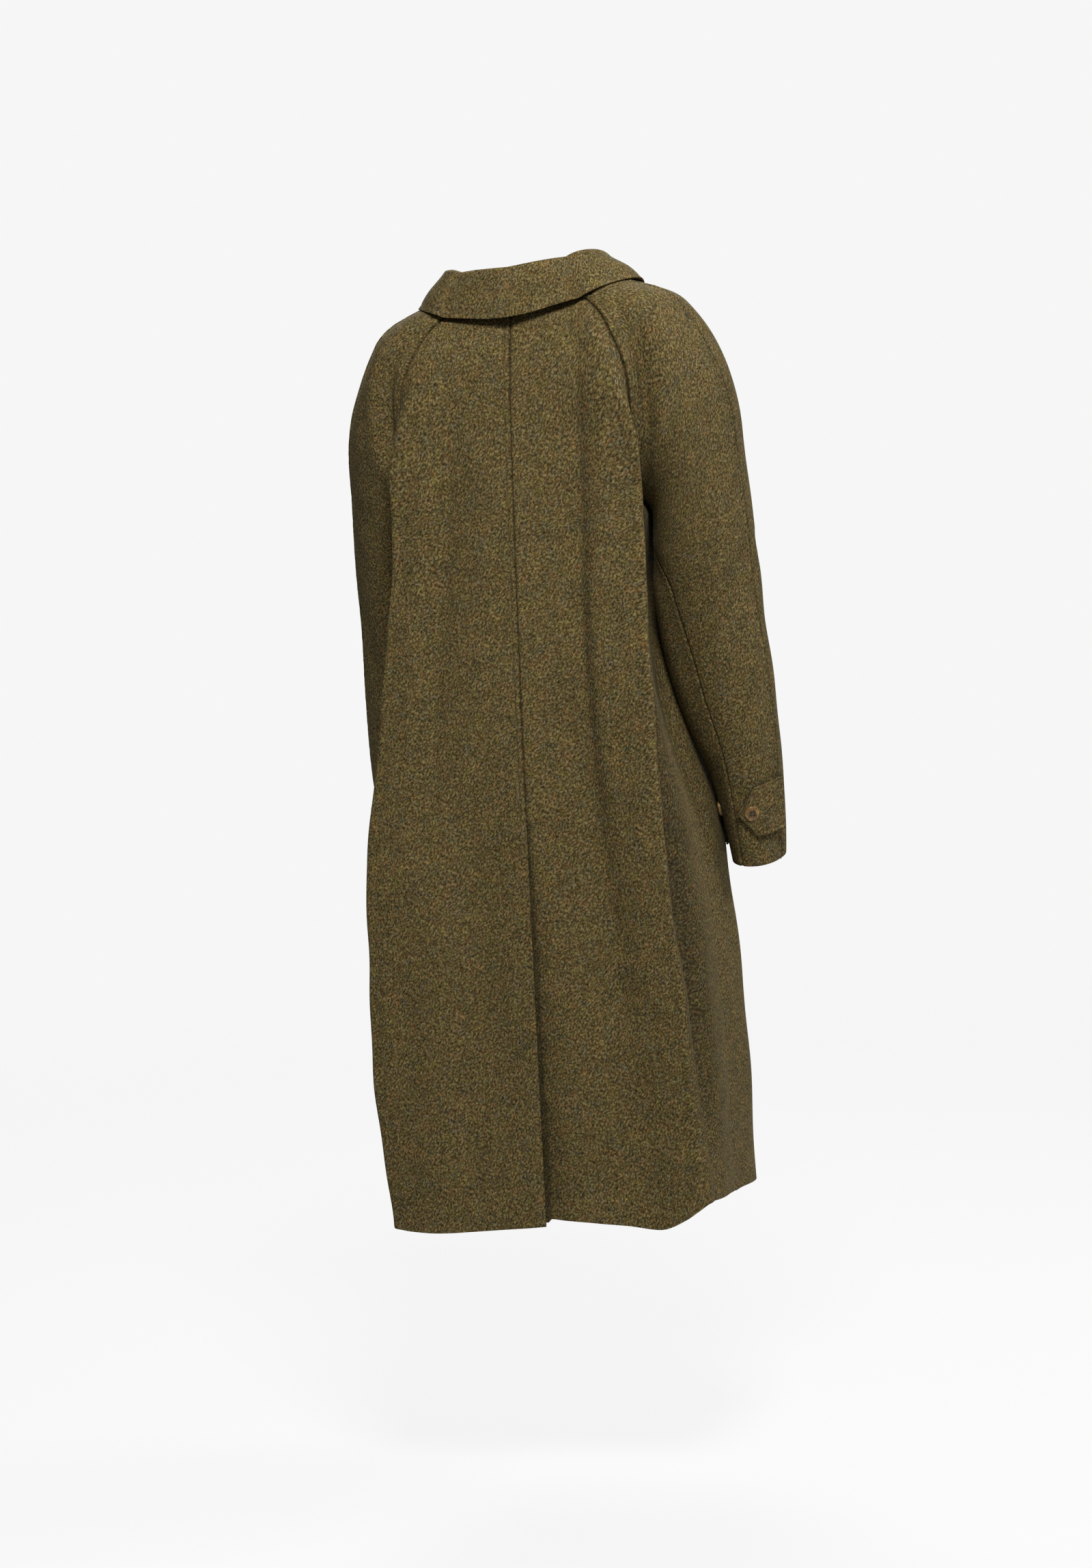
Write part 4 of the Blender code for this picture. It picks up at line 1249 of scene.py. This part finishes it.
def build_welt(side, number, tweed, thread, grain):
    """A slanted welt laid on the front panel."""
    part = np.linspace(0, 1, WELT_CELLS[0] + 1)
    over = np.linspace(0, 1, WELT_CELLS[1] + 1)
    lines = []
    for share_down in part:
        station = np.array([between(WELT_STATIONS, share_down)])
        ends = (between(WELT_NEAR_ACROSS, share_down), between(WELT_FAR_ACROSS, share_down))
        lines.append(body_rows("front", side, station, between(ends, over))[0])
    points = mirrored(np.array(lines), side)
    way = normals(points, (0, -1, 0))
    wide = lengths(points)
    long = lengths_down(points)
    to_edge = np.minimum(np.minimum(wide, wide[:, -1:] - wide), np.minimum(long, long[-1:] - long))
    top, welt = laid_piece("pocket_welt_" + side + "_piece", points, way, to_edge, WELT_LIFT, number, tweed)
    column = int(np.argmin(np.abs(wide[len(part) // 2] - TRIM_STITCH)))
    shapes = []
    long_way = slice(3, -3)
    inside = slice(column, len(over) - column)
    for at in ((long_way, column), (long_way, -1 - column), (3, inside), (-4, inside)):
        shapes += stitch_row(pose(top[at]), way[at], grain)
    return welt, join_arrays("pocket_welt_" + side + "_stitching", shapes, thread)


# Buttons
def pick_faces(thing, test):
    """In edit mode, select only the faces that pass a test."""
    form = bmesh.from_edit_mesh(thing.data)
    for face in form.faces:
        face.select_set(bool(test(face)))
    form.select_flush_mode()
    bmesh.update_edit_mesh(thing.data)


def sink_inside(border, depth):
    """In edit mode, leave a border round the selected faces and move the rest down."""
    bpy.ops.mesh.inset(thickness=border)
    bpy.ops.transform.translate(value=(0, 0, -depth))


def model_button(size):
    """A four-hole horn button with a raised rim and a dished middle, lying flat at the origin."""
    deselect()
    bpy.ops.mesh.primitive_cylinder_add(vertices=BUTTON_SIDES, radius=size / 2, depth=BUTTON_THICKNESS)
    button = bpy.context.active_object
    bpy.ops.object.mode_set(mode="EDIT")
    pick_faces(button, lambda face: face.normal.z > BUTTON_FACING)
    sink_inside(size * BUTTON_RIM, BUTTON_DISH)
    sink_inside(size * BUTTON_STEP, BUTTON_STEP_DEPTH)
    pick_faces(button, lambda face: face.normal.z < -BUTTON_FACING)
    sink_inside(size * BUTTON_BACK, BUTTON_BACK_DEPTH)
    bpy.ops.object.mode_set(mode="OBJECT")
    round_edges(button, "worn edge", BUTTON_ROUND, 3, BUTTON_EDGE_ANGLE)
    apply_all(button)
    for x in (-1, 1):
        for y in (-1, 1):
            deselect()
            bpy.ops.mesh.primitive_cylinder_add(
                vertices=18, radius=HOLE_RADIUS, depth=4 * BUTTON_THICKNESS,
                location=(x * HOLE_SPACING, y * HOLE_SPACING, 0),
            )
            drill = bpy.context.active_object
            cut = button.modifiers.new("hole", "BOOLEAN")
            cut.object = drill
            cut.operation = "DIFFERENCE"
            apply_all(button)
            bpy.data.objects.remove(drill)
    # Mark the dished middle of the face, which the horn darkens as painted shade
    spots = np.array([v.co for v in button.data.vertices])
    from_middle = np.hypot(spots[:, 0], spots[:, 1]) / (size / 2)
    dished = smooth((DISH_START - from_middle) / DISH_FADE) * (spots[:, 2] > 0)
    button.data.attributes.new("dished", "FLOAT", "POINT").data.foreach_set("value", dished)
    return button


def button_threads(grain, lift):
    """Thread through the four holes and the wound shank beneath, for a button lying flat at the origin."""
    points, faces = grain
    half = BUTTON_THICKNESS / 2
    shapes = []
    bow = STRAND_TOP + STRAND_BOW * (1 - 1.6 * points[:, 0] ** 2)
    for y in (-HOLE_SPACING, HOLE_SPACING):
        for strand in STRANDS:
            shape = points * np.array(STRAND_SIZE)
            shapes.append((shape + np.stack([0 * bow, y + strand + 0 * bow, bow], -1), faces))
    for turn in range(SHANK_TURNS):
        height = (turn + 0.5) / 2 * (half + lift - SHANK_SHORT) / SHANK_TURNS - half - lift - SHANK_BELOW
        shape = points[:, [1, 2, 0]] * np.array(SHANK_SIZE)
        shapes.append((shape + np.array([0, 0, height]), faces))
    return shapes


def button_place(node, outward):
    """Where a button's solid sits: its middle, and a turn that lays a flat button square to it."""
    points = np.array([v.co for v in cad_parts[node].data.vertices])
    centre = (points.min(0) + points.max(0)) / 2
    mean = points.mean(0)
    centre = mean if np.linalg.norm(mean - centre) < EVEN_SOLID else centre
    ways = np.linalg.svd(points - mean, full_matrices=False)[2]
    way = Vector(ways[2] if ways[2] @ np.array(outward) > 0 else -ways[2])
    turn = way.to_track_quat("Z", "Y").to_matrix().to_4x4()
    return Matrix.Translation(Vector(centre)) @ turn


def build_button(node, measures, outward, horn, thread, grain):
    """One button in the place of its solid, with its thread."""
    size, lift = measures
    button = model_button(size)
    button.name = node + "_piece"
    button.data.name = button.name
    place = button_place(node, outward)
    button.data.transform(place)
    button.data.materials.clear()
    button.data.materials.append(horn)
    take(button)
    bpy.ops.object.shade_smooth_by_angle(angle=BUTTON_CREASE)
    turn = np.array(place)
    shapes = button_threads(grain, lift)
    moved = [(points @ turn[:3, :3].T + turn[:3, 3], faces) for points, faces in shapes]
    return button, join_arrays(node + "_thread", moved, thread)


# Stage
def build_stage():
    """Pale floor that fades into the pale surround, and that surround."""
    deselect()
    bpy.ops.mesh.primitive_plane_add(size=40, location=(0, 0, FLOOR_Z))
    floor = bpy.context.active_object
    floor.name = "studio_floor"
    material, tree, shader = start_material("pale floor")
    place = add(tree, "TexCoord")
    far = add(tree, "VectorMath", {0: place.outputs["Object"]}, operation="LENGTH")
    inputs = {"Value": far.outputs["Value"], "From Min": FLOOR_FADE[0], "From Max": FLOOR_FADE[1]}
    fade = add(tree, "MapRange", inputs, interpolation_type="SMOOTHSTEP")
    clear = add(tree, "BsdfTransparent")
    mixed = add(tree, "MixShader", {
        0: fade.outputs["Result"], 1: shader.outputs["BSDF"], 2: clear.outputs["BSDF"],
    })
    set_inputs(tree, shader, {
        "Base Color": (0.06, 0.06, 0.06, 1),
        "Roughness": 0.9,
        "Emission Color": (1, 1, 1, 1),
        "Emission Strength": FLOOR_GLOW,
    })
    tree.links.new(mixed.outputs["Shader"], tree.nodes["Material Output"].inputs["Surface"])
    floor.data.materials.append(material)

    world = bpy.data.worlds.new("pale surround")
    world.use_nodes = True
    bpy.context.scene.world = world
    tree = world.node_tree
    seen = tree.nodes["Background"]
    seen.inputs["Color"].default_value = (0.922, 0.922, 0.922, 1)
    glow = add(tree, "Background", {"Color": (0.905, 0.905, 0.905, 1), "Strength": SURROUND_GLOW})
    path = add(tree, "LightPath")
    both = add(tree, "MixShader", {
        0: path.outputs["Is Camera Ray"], 1: glow.outputs["Background"], 2: seen.outputs["Background"],
    })
    tree.links.new(both.outputs["Shader"], tree.nodes["World Output"].inputs["Surface"])


def way_to(azimuth, elevation):
    """A unit way out from the origin by azimuth from the front and elevation."""
    level = math.cos(elevation)
    return Vector((math.sin(azimuth) * level, -math.cos(azimuth) * level, math.sin(elevation)))


def add_light(name, azimuth, elevation, distance, size, power):
    """A square soft light aimed at the coat's middle."""
    way = way_to(math.radians(azimuth), math.radians(elevation))
    data = bpy.data.lights.new(name, "AREA")
    data.shape = "SQUARE"
    data.size = size
    data.energy = power
    light = new_object(name, data)
    light.location = COAT_MIDDLE + way * distance
    light.rotation_euler = (-way).to_track_quat("-Z", "Y").to_euler()


def build_camera():
    """The camera behind the coat, a little to its right and tipped as the picture is."""
    distance = 5.5
    yaw = math.radians(16)
    pan = math.radians(0.095)
    pitch = math.radians(6.1187)
    roll = math.radians(-3)
    data = bpy.data.cameras.new("camera")
    data.sensor_fit = "VERTICAL"
    data.sensor_height = 36
    data.lens = 97.45
    camera = new_object("camera", data)
    camera.location = (-distance * math.sin(yaw), distance * math.cos(yaw), -0.05)
    forward = way_to(yaw + pan, -pitch)
    aim = forward.to_track_quat("-Z", "Y").to_matrix() @ Matrix.Rotation(roll, 3, "Z")
    camera.rotation_euler = aim.to_euler()
    bpy.context.scene.camera = camera


def hand_over(node, piece, stitching=None):
    """Hang a piece, and its stitching if any, on the root, and hide the solid it stands for."""
    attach(piece, "root")
    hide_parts(node)
    if stitching is not None:
        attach(stitching, "root")


bpy.context.scene.view_settings.view_transform = "Standard"
tweed_cloth = tweed_material(tweed_group())
sewing_thread = thread_material()
button_horn = horn_material()
one_stitch = model_stitch()
plain, sheets, panels = build_panels(tweed_cloth)
stitching = build_topstitching(sheets, sewing_thread, one_stitch)
for node, piece in panels.items():
    hand_over(node, piece, stitching.get(node))
collar, collar_thread = build_collar(plain, tweed_cloth, sewing_thread, one_stitch)
hand_over("collar", collar, collar_thread)
for number, hand in enumerate(("left", "right")):
    tab, tab_thread = build_tab(hand, number, tweed_cloth, sewing_thread, one_stitch)
    hand_over("cuff_tab_" + hand, tab, tab_thread)
    welt, welt_thread = build_welt(hand, number + 2, tweed_cloth, sewing_thread, one_stitch)
    hand_over("pocket_welt_" + hand, welt, welt_thread)
    for node, way in (("cuff_button_", (0, 1, 0)), ("spare_button_", (-OUTWARD[hand], 0, 0))):
        node += hand
        button, wound = build_button(node, CUFF_BUTTON, way, button_horn, sewing_thread, one_stitch)
        hand_over(node, button, wound)
for number in range(1, 5):
    node = f"front_button_{number}"
    button, wound = build_button(node, FRONT_BUTTON, (0, -1, 0), button_horn, sewing_thread, one_stitch)
    hand_over(node, button, wound)
build_stage()
for light in LIGHTS:
    add_light(*light)
build_camera()
